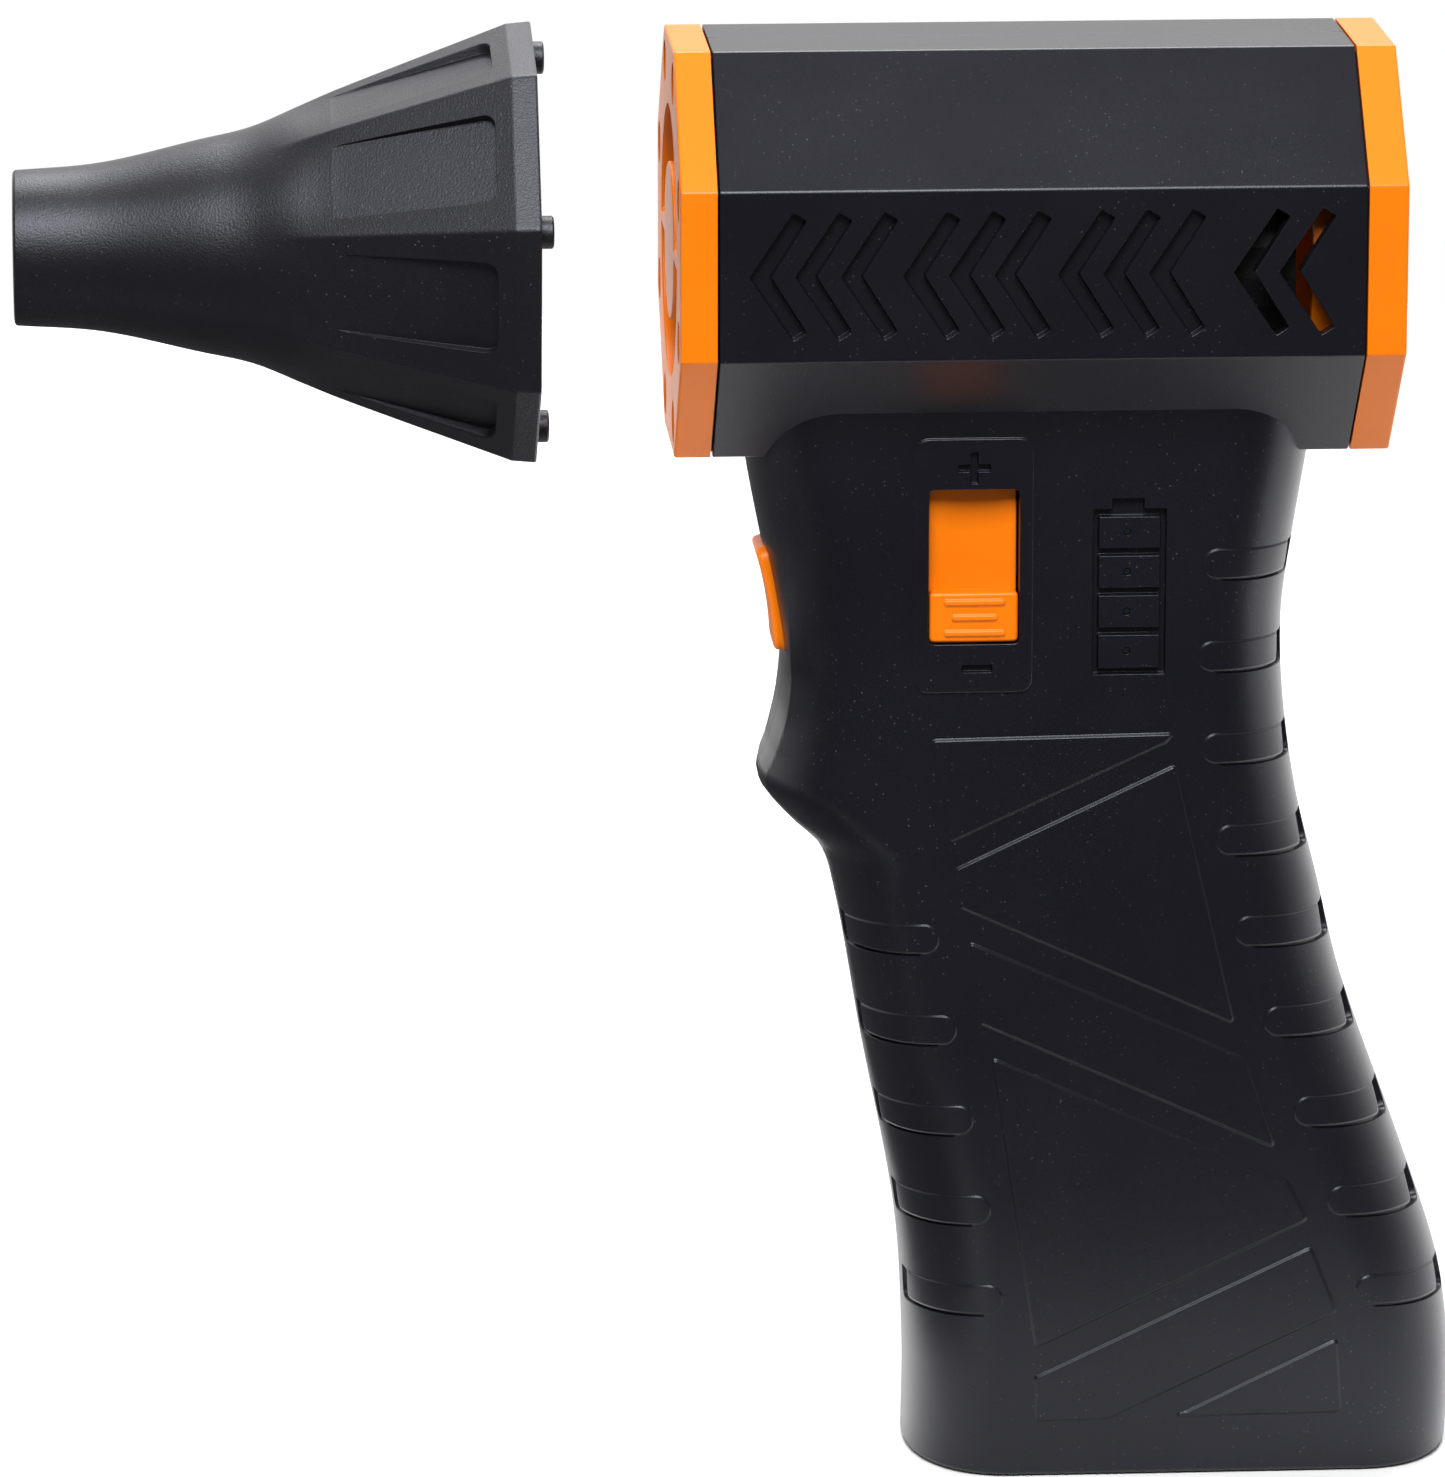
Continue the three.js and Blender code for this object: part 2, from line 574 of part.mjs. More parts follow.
function speedSlider() {
  const [half, plateY] = [PAD.width / 2, [-15.4, -14.4]];
  const plate = box([SLIDER_X - half, SLIDER_X + half], plateY,
    [WINDOW.low - SLIDE_TRAVEL - 1.5, WINDOW.high + 1.3]);
  const pad = prismY(roundedRect(PAD.width, PAD.height, 0.8, SLIDER_X, PAD.low + PAD.height / 2), -18.2, -15, 3);
  return joined(toSolid(plate), toSolid(pad));
}

function slidePot() {
  const body = toSolid(box([SLIDER_X - 4.6, SLIDER_X + 4.6], [-11.2, BOARD.y[0] - GAP], [103, 135]));
  const slot = toSolid(box([SLIDER_X - 1.2, SLIDER_X + 1.2], [-12, -7], [115.5, 133.9]));
  return body.subtract(slot);
}

place(blower, 'speed_slider', 'orange', speedSlider());
place(blower, 'pot_lever', 'steel', box([SLIDER_X - 0.7, SLIDER_X + 0.7], [-14.1, -8], [117, 120]));
place(blower, 'slide_potentiometer', 'part_black', slidePot());

place(blower, 'control_board', 'board', box(BOARD.x, BOARD.y, BOARD.z));
place(blower, 'capacitor', 'part_black', barY(4, -32, 110, BOARD.y[1] + GAP, 9, 16));
place(blower, 'motor_driver', 'part_black', box([-19, -9], [BOARD.y[1] + GAP, 0.2], [118, 128]));

function lightGuide() {
  const back = toSolid(box([LED_X - 1.6, LED_X + 1.6], [-7.5, -5.8], [LED_Z[3] - 1.6, LED_Z[0] + 1.6]));
  return joined(back, ...LED_Z.map(z => toSolid(barY(0.45, LED_X, z, -18.1, -7, 8))));
}

place(blower, 'light_guide', 'clear', lightGuide());
LED_Z.forEach((z, k) => {
  place(blower, `charge_led_${k + 1}`, 'lamp',
    box([LED_X - 0.9, LED_X + 0.9], [-5.5, BOARD.y[0] - GAP], [z - 0.7, z + 0.7]));
});
place(blower, 'usb_socket', 'steel', cut(
  toSolid(prismZ(roundedRect(3.2, 9, 1.5, -31.9, 0), 0.4, 7.6, 3)),
  toSolid(prismZ(roundedRect(2.4, 8.2, 1.1, -31.9, 0), 0, 6.8, 3)),
));

// ------------------------------------------------------------------- battery

const pack = new THREE.Group();
pack.position.set(PACK.x, 0, PACK.z);
pack.rotation.y = -PACK.lean;
blower.add(pack);

const CELL_PLACES = [-1.5, -0.5, 0.5, 1.5].map((step, k) => [step * CELL_PITCH_X, k % 2 ? 1 : -1]);
CELL_PLACES.forEach(([x, side], k) => {
  const profile = [[0, 0], [CELL_R, 0], [CELL_R, 64.4], [CELL_R - 0.6, CELL_LENGTH], [0, CELL_LENGTH]];
  const cell = new THREE.LatheGeometry(profile.map(([r, z]) => new THREE.Vector2(r, z)), 20)
    .rotateX(Math.PI / 2).translate(x, side * CELL_OFFSET_Y, 0);
  place(pack, `battery_cell_${k + 1}`, 'cell', cell);
});
place(pack, 'nickel_link', 'steel', prismZ(roundedRect(42, 12, 2), -0.6, -GAP, 2));
[['positive_tab', -1], ['negative_tab', 1]].forEach(([name, side]) => {
  const tab = prismZ(roundedRect(18, 12, 2, side * CELL_PITCH_X, 0), CELL_LENGTH + GAP, CELL_LENGTH + 0.6, 2);
  place(pack, name, 'steel', tab);
});
[['lower_cell_plate', -2], ['upper_cell_plate', CELL_LENGTH + 0.9]].forEach(([name, z]) => {
  place(pack, name, 'paper', prismZ(roundedRect(52, 30, 8), z, z + 1.1, 3));
});

// --------------------------------------------------------------------- leads

function lead(radius, points, steps) {
  const path = new THREE.CatmullRomCurve3(points.map(p => new THREE.Vector3(...p)));
  const section = new THREE.Shape().absarc(0, 0, radius, 0, 2 * Math.PI, false);
  return new THREE.ExtrudeGeometry(section, { steps, extrudePath: path, curveSegments: 3, bevelEnabled: false });
}

['red_wire', 'yellow_wire', 'blue_wire'].forEach((finish, k) => {
  const side = k - 1;
  const y = side * 2.3;
  place(blower, `motor_lead_${k + 1}`, finish, lead(0.7, [
    [-36 + side * 2.4, -3.2, 137.1], [-38 + side * 2.4, -2 + y / 2, 140.5], [-43, y, 143.2], [-45.6, y, 146.5],
    [-46, y, 152], [-45.6, y, 158], [-44, y, 159.5],
  ], 14));
});
place(blower, 'positive_lead', 'red_wire', lead(0.9, [
  [-23, 0, 76.5], [-23.2, -0.3, 82], [-26, -2, 90], [-27, -3.2, 98.7],
], 12));
place(blower, 'negative_lead', 'black_wire', lead(0.9, [
  [-2, 0, 80.5], [-2.4, -0.3, 86], [-5, -2, 92], [-6, -3.2, 98.7],
], 12));

export default blower;
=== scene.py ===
# %% [markdown]
# # A handheld jet blower
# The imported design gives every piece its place, in metres: casing halves, rings, nozzle, motor, battery.
# This lesson dresses it. Pieces that show get a finer surface, worked out with numpy from the same few
# driving sizes as the design, and every piece gets a procedural finish.

# %% The frame and the box it fills
import json

import bpy
import numpy as np
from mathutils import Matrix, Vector
from mathutils.geometry import delaunay_2d_cdt


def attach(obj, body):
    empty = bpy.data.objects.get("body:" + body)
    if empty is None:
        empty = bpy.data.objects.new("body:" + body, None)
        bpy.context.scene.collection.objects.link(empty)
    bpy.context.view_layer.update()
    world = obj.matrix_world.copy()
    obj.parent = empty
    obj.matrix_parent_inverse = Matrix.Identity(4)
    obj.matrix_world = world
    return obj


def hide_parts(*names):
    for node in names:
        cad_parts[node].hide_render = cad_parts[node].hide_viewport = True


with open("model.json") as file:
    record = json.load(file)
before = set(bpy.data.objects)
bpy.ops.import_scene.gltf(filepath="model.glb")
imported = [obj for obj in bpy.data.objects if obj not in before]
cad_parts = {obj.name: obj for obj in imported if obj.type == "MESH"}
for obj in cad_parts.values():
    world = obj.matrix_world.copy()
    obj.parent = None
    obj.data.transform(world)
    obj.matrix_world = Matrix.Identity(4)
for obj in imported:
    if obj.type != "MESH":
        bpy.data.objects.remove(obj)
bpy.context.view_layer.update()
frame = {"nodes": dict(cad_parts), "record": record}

# %% [markdown]
# ## Camera
# A long lens from well back keeps the two ends of the barrel almost the same size. The camera stands a
# little towards the outlet end and looks down by some fourteen degrees. It could be framed by eye, but a
# place and a target, both points on paper, make the angle easy to state and to change.

# %% Camera
MM = 0.001


def camera(place, target, lens):
    """A camera at one point that looks at another, both in millimetres."""
    data = bpy.data.cameras.new("camera")
    data.lens, data.sensor_width = lens, 36
    data.clip_end = 100
    holder = bpy.data.objects.new("camera", data)
    holder.location = Vector(place) * MM
    sight = (Vector(target) - Vector(place)) * MM
    holder.rotation_euler = sight.to_track_quat("-Z", "Y").to_euler()
    bpy.context.scene.collection.objects.link(holder)
    bpy.context.scene.camera = holder
    print("camera stands", round(sight.length, 3), "m away")


camera(place=(-136.2, -1206.1, 392.0), target=(-61.6, 0, 98.1), lens=226.5)

# %% [markdown]
# ## Lamps
# Black plastic shows its surroundings more than its own colour, so its lamps are large and soft. One high
# up in front gives the orange pieces their full colour, and one behind lights the upper faces.

# %% Lamps
scene = bpy.context.scene
scene.view_settings.view_transform = "Standard"


def soft_lamp(name, place, target, size, power):
    """A square soft lamp at one point, turned towards another, in metres and watts."""
    data = bpy.data.lights.new(name, "AREA")
    data.size, data.energy = size, power
    lamp = bpy.data.objects.new(name, data)
    lamp.location = place
    lamp.rotation_euler = (Vector(target) - Vector(place)).to_track_quat("-Z", "Y").to_euler()
    scene.collection.objects.link(lamp)


MIDDLE = (-0.03, 0, 0.11)
soft_lamp("key_lamp", (-0.12, -0.88, 1.04), MIDDLE, 0.66, 23)
soft_lamp("back_lamp", (0.1, 0.8, 1.42), MIDDLE, 0.9, 23)

# %% [markdown]
# ## Sky
# A pale sky behind the object draws light rims on the curved edges, while the side in front stays dim, so
# the near faces stay black. A single bright dome would be simpler, but it would wash the casing to grey.
# What the eye sees directly is plain white, whatever light the sky gives.

# %% Sky


def sky():
    """White to the eye. The light it gives is dim towards -Y and bright towards +Y."""
    world = bpy.data.worlds.new("sky")
    scene.world = world
    world.use_nodes = True
    tree = world.node_tree
    tree.nodes.clear()
    out = tree.nodes.new("ShaderNodeOutputWorld")
    mix = tree.nodes.new("ShaderNodeMixShader")
    eye = tree.nodes.new("ShaderNodeLightPath")
    plain = tree.nodes.new("ShaderNodeBackground")
    shade = tree.nodes.new("ShaderNodeBackground")
    direction = tree.nodes.new("ShaderNodeTexCoord")
    parts = tree.nodes.new("ShaderNodeSeparateXYZ")
    ramp = tree.nodes.new("ShaderNodeMapRange")
    ramp.interpolation_type = "SMOOTHSTEP"
    for socket, value in (("From Min", -0.35), ("From Max", 0.75), ("To Min", 0.12), ("To Max", 1.05)):
        ramp.inputs[socket].default_value = value
    join = tree.links.new
    join(direction.outputs["Generated"], parts.inputs[0])
    join(parts.outputs["Y"], ramp.inputs["Value"])
    join(ramp.outputs["Result"], shade.inputs["Strength"])
    join(eye.outputs["Is Camera Ray"], mix.inputs[0])
    join(shade.outputs[0], mix.inputs[1])
    join(plain.outputs[0], mix.inputs[2])
    join(mix.outputs[0], out.inputs["Surface"])
    plain.inputs["Color"].default_value = (1, 1, 1, 1)
    shade.inputs["Color"].default_value = (1, 0.99, 0.98, 1)


sky()
print("sky:", len(scene.world.node_tree.nodes), "nodes")

# %% [markdown]
# ## A small language for finishes
# A shader is arithmetic on textures. Written node by node it is hard to read, so one small class wraps a
# socket and lets Python's own operators add the Math nodes.

# %% Arithmetic on a surface


class Amount:
    """A number that varies over a surface: arithmetic on it adds Math nodes."""

    def __init__(self, finish, socket):
        self.finish, self.socket = finish, socket

    def maths(self, operation, *values):
        node = self.finish.add("ShaderNodeMath", {"operation": operation}, dict(enumerate(values)))
        return Amount(self.finish, node.outputs[0])

    def __add__(self, other):
        return self.maths("ADD", self, other)

    def __mul__(self, other):
        return self.maths("MULTIPLY", self, other)

    def __sub__(self, other):
        return self.maths("SUBTRACT", self, other)

    def __rsub__(self, other):
        return self.maths("SUBTRACT", other, self)

    __radd__, __rmul__ = __add__, __mul__

    def between(self, low, high):
        """0 below low, 1 above high, and a soft step between."""
        node = self.finish.add("ShaderNodeMapRange", {"interpolation_type": "SMOOTHSTEP"},
                               {"Value": self, "From Min": low, "From Max": high})
        return Amount(self.finish, node.outputs["Result"])


# %% [markdown]
# ## A material in the making
# One class holds a material while it is built. One method adds any node, and short ones add the textures
# that plastics, metals and boards share: noise, cells, a mix of two colours, and a bump.

# %% Finishes


class Finish:
    """A material in the making, with its place on the object ready to feed textures."""

    def __init__(self, name, **fixed):
        self.material = bpy.data.materials.new(name)
        self.material.use_nodes = True
        self.tree = self.material.node_tree
        self.shader = self.tree.nodes["Principled BSDF"]
        self.place = self.add("ShaderNodeTexCoord").outputs["Object"]
        self.set(**fixed)

    def add(self, kind, settings=None, inputs=None):
        """Any node: its type, then its settings, then the values or links of its sockets."""
        node = self.tree.nodes.new(kind)
        for key, value in (settings or {}).items():
            setattr(node, key, value)
        for key, value in (inputs or {}).items():
            self.feed(node.inputs[key], value)
        return node

    def feed(self, socket, value):
        if isinstance(value, Amount):
            value = value.socket
        if isinstance(value, bpy.types.NodeSocket):
            self.tree.links.new(value, socket)
        elif socket.type == "RGBA" and len(value) == 3:
            socket.default_value = (*value, 1)
        else:
            socket.default_value = value

    def set(self, **sockets):
        """Values or links for the shader's own sockets; an underscore stands for a space."""
        for key, value in sockets.items():
            self.feed(self.shader.inputs[key.replace("_", " ")], value)

    def noise(self, scale, detail=2.0, roughness=0.5, place=None):
        node = self.add("ShaderNodeTexNoise", None, {
            "Vector": place or self.place, "Scale": scale, "Detail": detail, "Roughness": roughness})
        return Amount(self, node.outputs["Fac"])

    def cells(self, scale, feature="F1"):
        return self.add("ShaderNodeTexVoronoi", {"feature": feature}, {"Vector": self.place, "Scale": scale})

    def mix(self, share, first, second):
        """Between two colours."""
        node = self.add("ShaderNodeMix", {"data_type": "RGBA"}, {0: share, 6: first, 7: second})
        return node.outputs[2]

    def bump(self, height, strength, distance):
        sizes = {"Height": height, "Strength": strength, "Distance": distance}
        self.set(Normal=self.add("ShaderNodeBump", None, sizes).outputs["Normal"])

    def stretched(self, x, y, z):
        """The place, drawn out along an axis, for brushed or laminated patterns."""
        return self.add("ShaderNodeMapping", None, {"Vector": self.place, "Scale": (x, y, z)}).outputs[0]


FINISHES = {}


def keep(slot, finish):
    FINISHES[slot] = finish.material
    return finish


# %% [markdown]
# ## Moulded plastics
# The casing is satin black ABS from a spark-eroded mould: a fine even grain, a little dust, and patches
# where handling has polished it. The orange trim is the same plastic in colour, and the nozzle has a
# coarser grain that glitters. An image of real plastic would also do, but noise on the object's own
# coordinates has no seams and any scale.

# %% Plastics


def moulded(name, colour, pale, grain, depth, rough, shine, dusty=0.8, tinge=(1, 1, 1, 1), spread=0.06):
    """Moulded plastic: grain is the number of bumps to a metre, depth their height in metres."""
    f = Finish(name, Specular_IOR_Level=shine, Specular_Tint=tinge)
    fine = f.noise(grain, 3.0, 0.62)
    patch = f.noise(38.0, 3.0, 0.55)
    speck = f.cells(2100.0)
    near = Amount(f, speck.outputs["Distance"])
    chosen = Amount(f, f.add("ShaderNodeSeparateColor", None, {0: speck.outputs["Color"]}).outputs[0])
    dust = (1 - near.between(0.14, 0.34)) * chosen.between(0.88, 1.0) * patch.between(0.25, 0.7) * dusty
    tint = f.mix(patch.between(0.35, 0.7) * 0.5 + fine * 0.25, colour, pale)
    f.set(Base_Color=f.mix(dust * 0.8, tint, tuple(min(1.0, c * 1.2 + 0.22) for c in pale)),
          Roughness=(patch - 0.5) * spread + (fine - 0.5) * 0.12 + dust * 0.2 + rough)
    f.bump(fine, 1.0, depth)
    return f


COOL = (0.88, 0.90, 1.0, 1.0)
keep("black_abs", moulded(
    "black_abs", (0.0042, 0.0042, 0.0070), (0.0068, 0.0068, 0.0104), 4200.0, 0.000018, 0.31, 0.40, 0.3, COOL))
keep("orange_abs", moulded(
    "orange_abs", (0.93, 0.200, 0.0005), (0.97, 0.224, 0.0010), 3600.0, 0.000008, 0.36, 0.3, 0.1))
keep("nozzle_nylon", moulded(
    "nozzle_nylon", (0.0050, 0.0048, 0.0070), (0.0085, 0.0082, 0.0110), 3600.0, 0.000060, 0.40, 0.50, 0.5,
    COOL))
keep("duct_nylon", moulded(
    "duct_nylon", (0.010, 0.010, 0.012), (0.016, 0.016, 0.019), 3000.0, 0.000012, 0.45, 0.4))
keep("moulded_component", moulded(
    "moulded_component", (0.010, 0.010, 0.011), (0.018, 0.018, 0.019), 5200.0, 0.00001, 0.5, 0.4))
print("plastics:", list(FINISHES))

# %% [markdown]
# ## Metals, wires and small parts
# These are mostly out of sight, behind the outlet and the intake guard or inside the casing, but a view
# through an opening or of a piece on its own meets them. Steel is brushed along its axis, the copper is
# wound, the board has its green lacquer and pads.

# %% Metals


def metal(name, colour, dark, rough, draw, **fixed):
    """Worked metal: draw is the stretch of its fine marks along x, y and z."""
    f = Finish(name, Metallic=1.0, **fixed)
    marks = f.noise(1.0, 3.0, 0.6, f.stretched(*draw))
    stain = f.noise(160.0, 2.0)
    f.set(Base_Color=f.mix(stain.between(0.3, 0.75), colour, dark),
          Roughness=marks * 0.22 + stain * 0.1 + rough)
    f.bump(marks, 0.6, 0.00001)
    return f


keep("bright_steel", metal("bright_steel", (0.60, 0.61, 0.63), (0.46, 0.47, 0.49), 0.16, (300, 5200, 5200)))
keep("black_steel", metal("black_steel", (0.085, 0.088, 0.095), (0.05, 0.05, 0.055), 0.28, (900, 4000, 4000)))
keep("magnet", metal("magnet", (0.23, 0.235, 0.25), (0.15, 0.15, 0.16), 0.34, (2500, 2500, 2500)))
keep("copper_wire", metal("copper_wire", (0.72, 0.26, 0.10), (0.50, 0.15, 0.05), 0.22, (600, 9000, 9000)))
print("with metals:", len(FINISHES), "finishes")

# %% [markdown]
# ## Coated things
# Wire insulation, rubber rings, the cells' sleeves, card and the lamps' lenses are plain colours with a
# soft unevenness. One function serves them all, with its own colours, grain and gloss for each.

# %% Wires, rubber, card and lamps


def coated(name, colour, dark, rough, grain, depth, **fixed):
    """A plain coated or pressed surface with a soft unevenness of colour."""
    f = Finish(name, **fixed)
    fine, broad = f.noise(grain, 2.0, 0.6), f.noise(90.0, 2.0)
    f.set(Base_Color=f.mix(broad.between(0.3, 0.7) * 0.6 + fine * 0.3, colour, dark),
          Roughness=fine * 0.14 + rough)
    f.bump(fine, 0.8, depth)
    return f


for wire, colour in (("red_wire", (0.46, 0.014, 0.010)), ("black_wire", (0.012, 0.012, 0.014)),
                     ("yellow_wire", (0.72, 0.47, 0.014)), ("blue_wire", (0.016, 0.095, 0.48))):
    keep(wire, coated(wire, colour, tuple(c * 0.7 for c in colour), 0.36, 1500.0, 0.00001))
keep("rubber", coated("rubber", (0.010, 0.010, 0.011), (0.018, 0.018, 0.018), 0.72, 2600.0, 0.00002))
keep("cell", coated(
    "cell", (0.028, 0.22, 0.48), (0.020, 0.16, 0.38), 0.30, 900.0, 0.000006, Coat_Weight=0.3))
keep("insulating_card", coated(
    "insulating_card", (0.50, 0.53, 0.45), (0.38, 0.41, 0.34), 0.78, 2400.0, 0.00002))
keep("clear_acrylic", coated(
    "clear_acrylic", (0.012, 0.013, 0.015), (0.008, 0.009, 0.010), 0.25, 1200.0, 0.000004,
    Transmission_Weight=0.3, Specular_IOR_Level=0.12))
# The lamps' lenses are dark grey. This is partly their own colour when unlit and partly painted shade,
# standing in for the shade of the small holes they sit behind.
keep("led", coated(
    "led", (0.030, 0.030, 0.026), (0.018, 0.018, 0.016), 0.22, 1200.0, 0.000004, Coat_Weight=0.2))
print("with coated things:", len(FINISHES), "finishes")

# %% [markdown]
# ## Circuit boards
# A board is green lacquer over copper tracks, with tinned pads. Cell edges make lines like tracks, and the
# middles of smaller cells make the pads, so no drawing of a real board is needed.

# %% Board


def circuit_board():
    """Green lacquer over copper tracks, with tinned pads in rows."""
    f = Finish("circuit_board")
    tracks = f.cells(260.0, "DISTANCE_TO_EDGE")
    track = Amount(f, tracks.outputs["Distance"]).between(0.06, 0.09)
    pads = f.cells(420.0)
    pad = 1 - Amount(f, pads.outputs["Distance"]).between(0.16, 0.2)
    green = f.mix(track, (0.012, 0.120, 0.045), (0.007, 0.068, 0.028))
    f.set(Base_Color=f.mix(pad, green, (0.62, 0.60, 0.55)), Metallic=pad * 0.9, Roughness=pad * 0.12 + 0.28)
    f.bump(track * -0.5 + pad, 0.5, 0.00004)
    return f


keep("circuit_board", circuit_board())
print("with boards:", len(FINISHES), "finishes")

# %% [markdown]
# ## Dressing the design
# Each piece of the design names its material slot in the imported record, so one loop dresses them all. The
# pieces that get a finer surface further on are dressed too, and hidden when their stand-in is made.

# %% Every piece of the design takes the finish of its slot
for part in frame["record"]["subparts"]:
    data = frame["nodes"][part["node"]].data
    data.materials.clear()
    data.materials.append(FINISHES[part["material_slot"]])
print(len(FINISHES), "finishes")

# %% [markdown]
# ## Outlines
# Every plate and panel starts as a flat outline. Corners are rounded by a short parabola between two
# points on the sides, long sides are divided, and copies are set off outward along the corners' bisectors.

# %% Outline helpers


def anticlockwise(loop):
    loop = np.asarray(loop, float)
    ahead = np.roll(loop, -1, 0)
    area = (loop[:, 0] * ahead[:, 1] - loop[:, 1] * ahead[:, 0]).sum()
    return loop if area > 0 else loop[::-1]


def rounded(corners, radius, steps=6):
    """Corners become parabolas: (1-s)^2 start + 2s(1-s) corner + s^2 end, start and end on the sides."""
    p = anticlockwise(corners)
    back, ahead = np.roll(p, 1, 0) - p, np.roll(p, -1, 0) - p
    long_back, long_ahead = np.linalg.norm(back, axis=1), np.linalg.norm(ahead, axis=1)
    back, ahead = back / long_back[:, None], ahead / long_ahead[:, None]
    half_turn = np.arccos(np.clip(-(back * ahead).sum(1), -1, 1)) / 2
    wanted = np.broadcast_to(radius, len(p)) * np.tan(half_turn)
    reach = np.minimum(wanted, 0.49 * np.minimum(long_back, long_ahead))
    start, end = p + back * reach[:, None], p + ahead * reach[:, None]
    s = np.linspace(0, 1, steps + 1)[:, None, None]
    arcs = (1 - s) ** 2 * start + 2 * s * (1 - s) * p + s**2 * end
    return without_repeats(arcs.transpose(1, 0, 2).reshape(-1, 2))


def without_repeats(loop, least=1e-3):
    return loop[np.linalg.norm(loop - np.roll(loop, 1, 0), axis=1) > least]


def rectangle(u, v, radius, steps=6):
    return rounded([(u[0], v[0]), (u[1], v[0]), (u[1], v[1]), (u[0], v[1])], radius, steps)


def circle(u, v, radius, count=24):
    turn = np.linspace(0, 2 * np.pi, count, endpoint=False)
    return np.stack([u + radius * np.cos(turn), v + radius * np.sin(turn)], 1)


def divided(loop, gap):
    """The same loop with points added so that no side is longer than gap."""
    ahead = np.roll(loop, -1, 0)
    count = np.maximum(1, np.ceil(np.linalg.norm(ahead - loop, axis=1) / gap)).astype(int)
    which = np.repeat(np.arange(len(loop)), count)
    share = (np.arange(len(which)) - np.repeat(np.cumsum(count) - count, count)) / count[which]
    return loop[which] * (1 - share[:, None]) + ahead[which] * share[:, None]


def bisectors(loop):
    """At each point of an anticlockwise loop, the way out: long enough to keep the sides parallel."""
    side = np.roll(loop, -1, 0) - loop
    side /= np.linalg.norm(side, axis=1)[:, None]
    normal = np.stack([side[:, 1], -side[:, 0]], 1)
    both = normal + np.roll(normal, 1, 0)
    both /= np.linalg.norm(both, axis=1)[:, None] + 1e-12
    return both / np.maximum((both * normal).sum(1), 0.5)[:, None]


print("a 2 mm square with round corners has", len(rectangle((-1, 1), (-1, 1), 0.5)), "points")

# %% [markdown]
# ## Inside, and close to
# Whether a point lies in an outline, or near its sides, decides what the triangles between may use. Both
# are worked out for many points at once, against all of an outline's sides.

# %% Inside and close to
AT_ONCE = 3000                                      # points tested together, to keep the arrays small


def inside(points, loop):
    """Even-odd rule, for all points at once: how many sides lie to the right of each."""
    held = np.zeros(len(points), bool)
    low, high = loop.min(0), loop.max(0)
    near = np.flatnonzero(((points >= low) & (points <= high)).all(1))
    a, b = loop, np.roll(loop, -1, 0)
    rise = np.where(a[:, 1] == b[:, 1], 1e-12, b[:, 1] - a[:, 1])
    for some in np.array_split(near, len(near) // AT_ONCE + 1):
        x, y = points[some, 0, None], points[some, 1, None]
        across = (a[:, 1] > y) != (b[:, 1] > y)
        held[some] = ((x < a[:, 0] + (y - a[:, 1]) * (b[:, 0] - a[:, 0]) / rise) & across).sum(1) % 2 == 1
    return held


def close_to(points, loop, gap):
    """Which points lie within gap of a loop's sides."""
    found = np.zeros(len(points), bool)
    near = np.flatnonzero(((points >= loop.min(0) - gap) & (points <= loop.max(0) + gap)).all(1))
    a, along_side = loop, np.roll(loop, -1, 0) - loop
    length2 = (along_side**2).sum(1) + 1e-12
    for some in np.array_split(near, len(near) // AT_ONCE + 1):
        away = points[some, None, :] - a
        t = np.clip((away * along_side).sum(2) / length2, 0, 1)
        found[some] = (np.linalg.norm(away - t[:, :, None] * along_side, axis=2) < gap).any(1)
    return found


# %% [markdown]
# ## Wrapping a drawing onto a surface
# Grooves, panels, pads and windows are drawn on the unrolled skin of a piece and wrapped onto it. Cutting
# them with booleans would leave ragged normals on the curved grip, and sculpting would not repeat. Here a
# drawing is triangulated flat, then each point is moved to the skin and lifted by its feature's height.
# Each edge is a few rows of points that turn over in a quarter round, and every point knows its normal,
# so that a rim of a tenth of a millimetre still catches a line of light.

# %% Wrapped sheets


class Feature:
    """Part of a drawing: raised if height is above 0, sunk below it, or a hole. Height may be a function."""

    def __init__(self, outline, height=0.0, edge=0.15, hole=False, gap=1.3):
        self.outline = divided(anticlockwise(outline), gap)
        self.height, self.edge, self.hole = height, edge, hole

    def lift(self, uv):
        return self.height(uv) if callable(self.height) else np.full(len(uv), float(self.height))

    def slope(self, uv):
        """How fast the height changes along u and v."""
        if not callable(self.height):
            return np.zeros_like(uv)
        e = 0.05
        du, dv = np.array([e, 0]), np.array([0, e])
        along_u, along_v = self.lift(uv + du) - self.lift(uv - du), self.lift(uv + dv) - self.lift(uv - dv)
        return np.stack([along_u, along_v], 1) / (2 * e)


def quarter_round(radius, turns=(0, 35, 62, 84)):
    """Rows of an edge that turns over: (distance out, lift, slope) at some angles of a quarter circle."""
    a = np.radians(turns)
    return np.stack([-radius * (1 - np.sin(a)), -radius * (1 - np.cos(a)), np.tan(a)], 1)


def step_rows(height, edge):
    """Rows of a step: foot, two on the wall, and head, with the wall's steepness as the slope."""
    steep = 0.9 if 0 < height < 0.5 else 3.0
    return [(edge, 0.0, 0.0), (0.3 * edge, 0.12, steep), (-0.3 * edge, 0.88, steep), (-edge, 1.0, 0.0)]


class Patch:
    """Points in millimetres, triangles, and a normal for each corner of each triangle."""

    def __init__(self, points, triangles, normals):
        self.points, self.triangles, self.normals = points, triangles, normals

    def moved(self, matrix, shift=(0, 0, 0)):
        turn = np.asarray(matrix, float)
        points, normals = self.points @ turn.T + shift, self.normals @ turn.T
        triangles = self.triangles
        if np.linalg.det(turn) < 0:
            triangles, normals = triangles[:, ::-1], normals[:, ::-1]
        return Patch(points, triangles, normals)


def unit(vectors):
    return vectors / (np.linalg.norm(vectors, axis=-1, keepdims=True) + 1e-12)


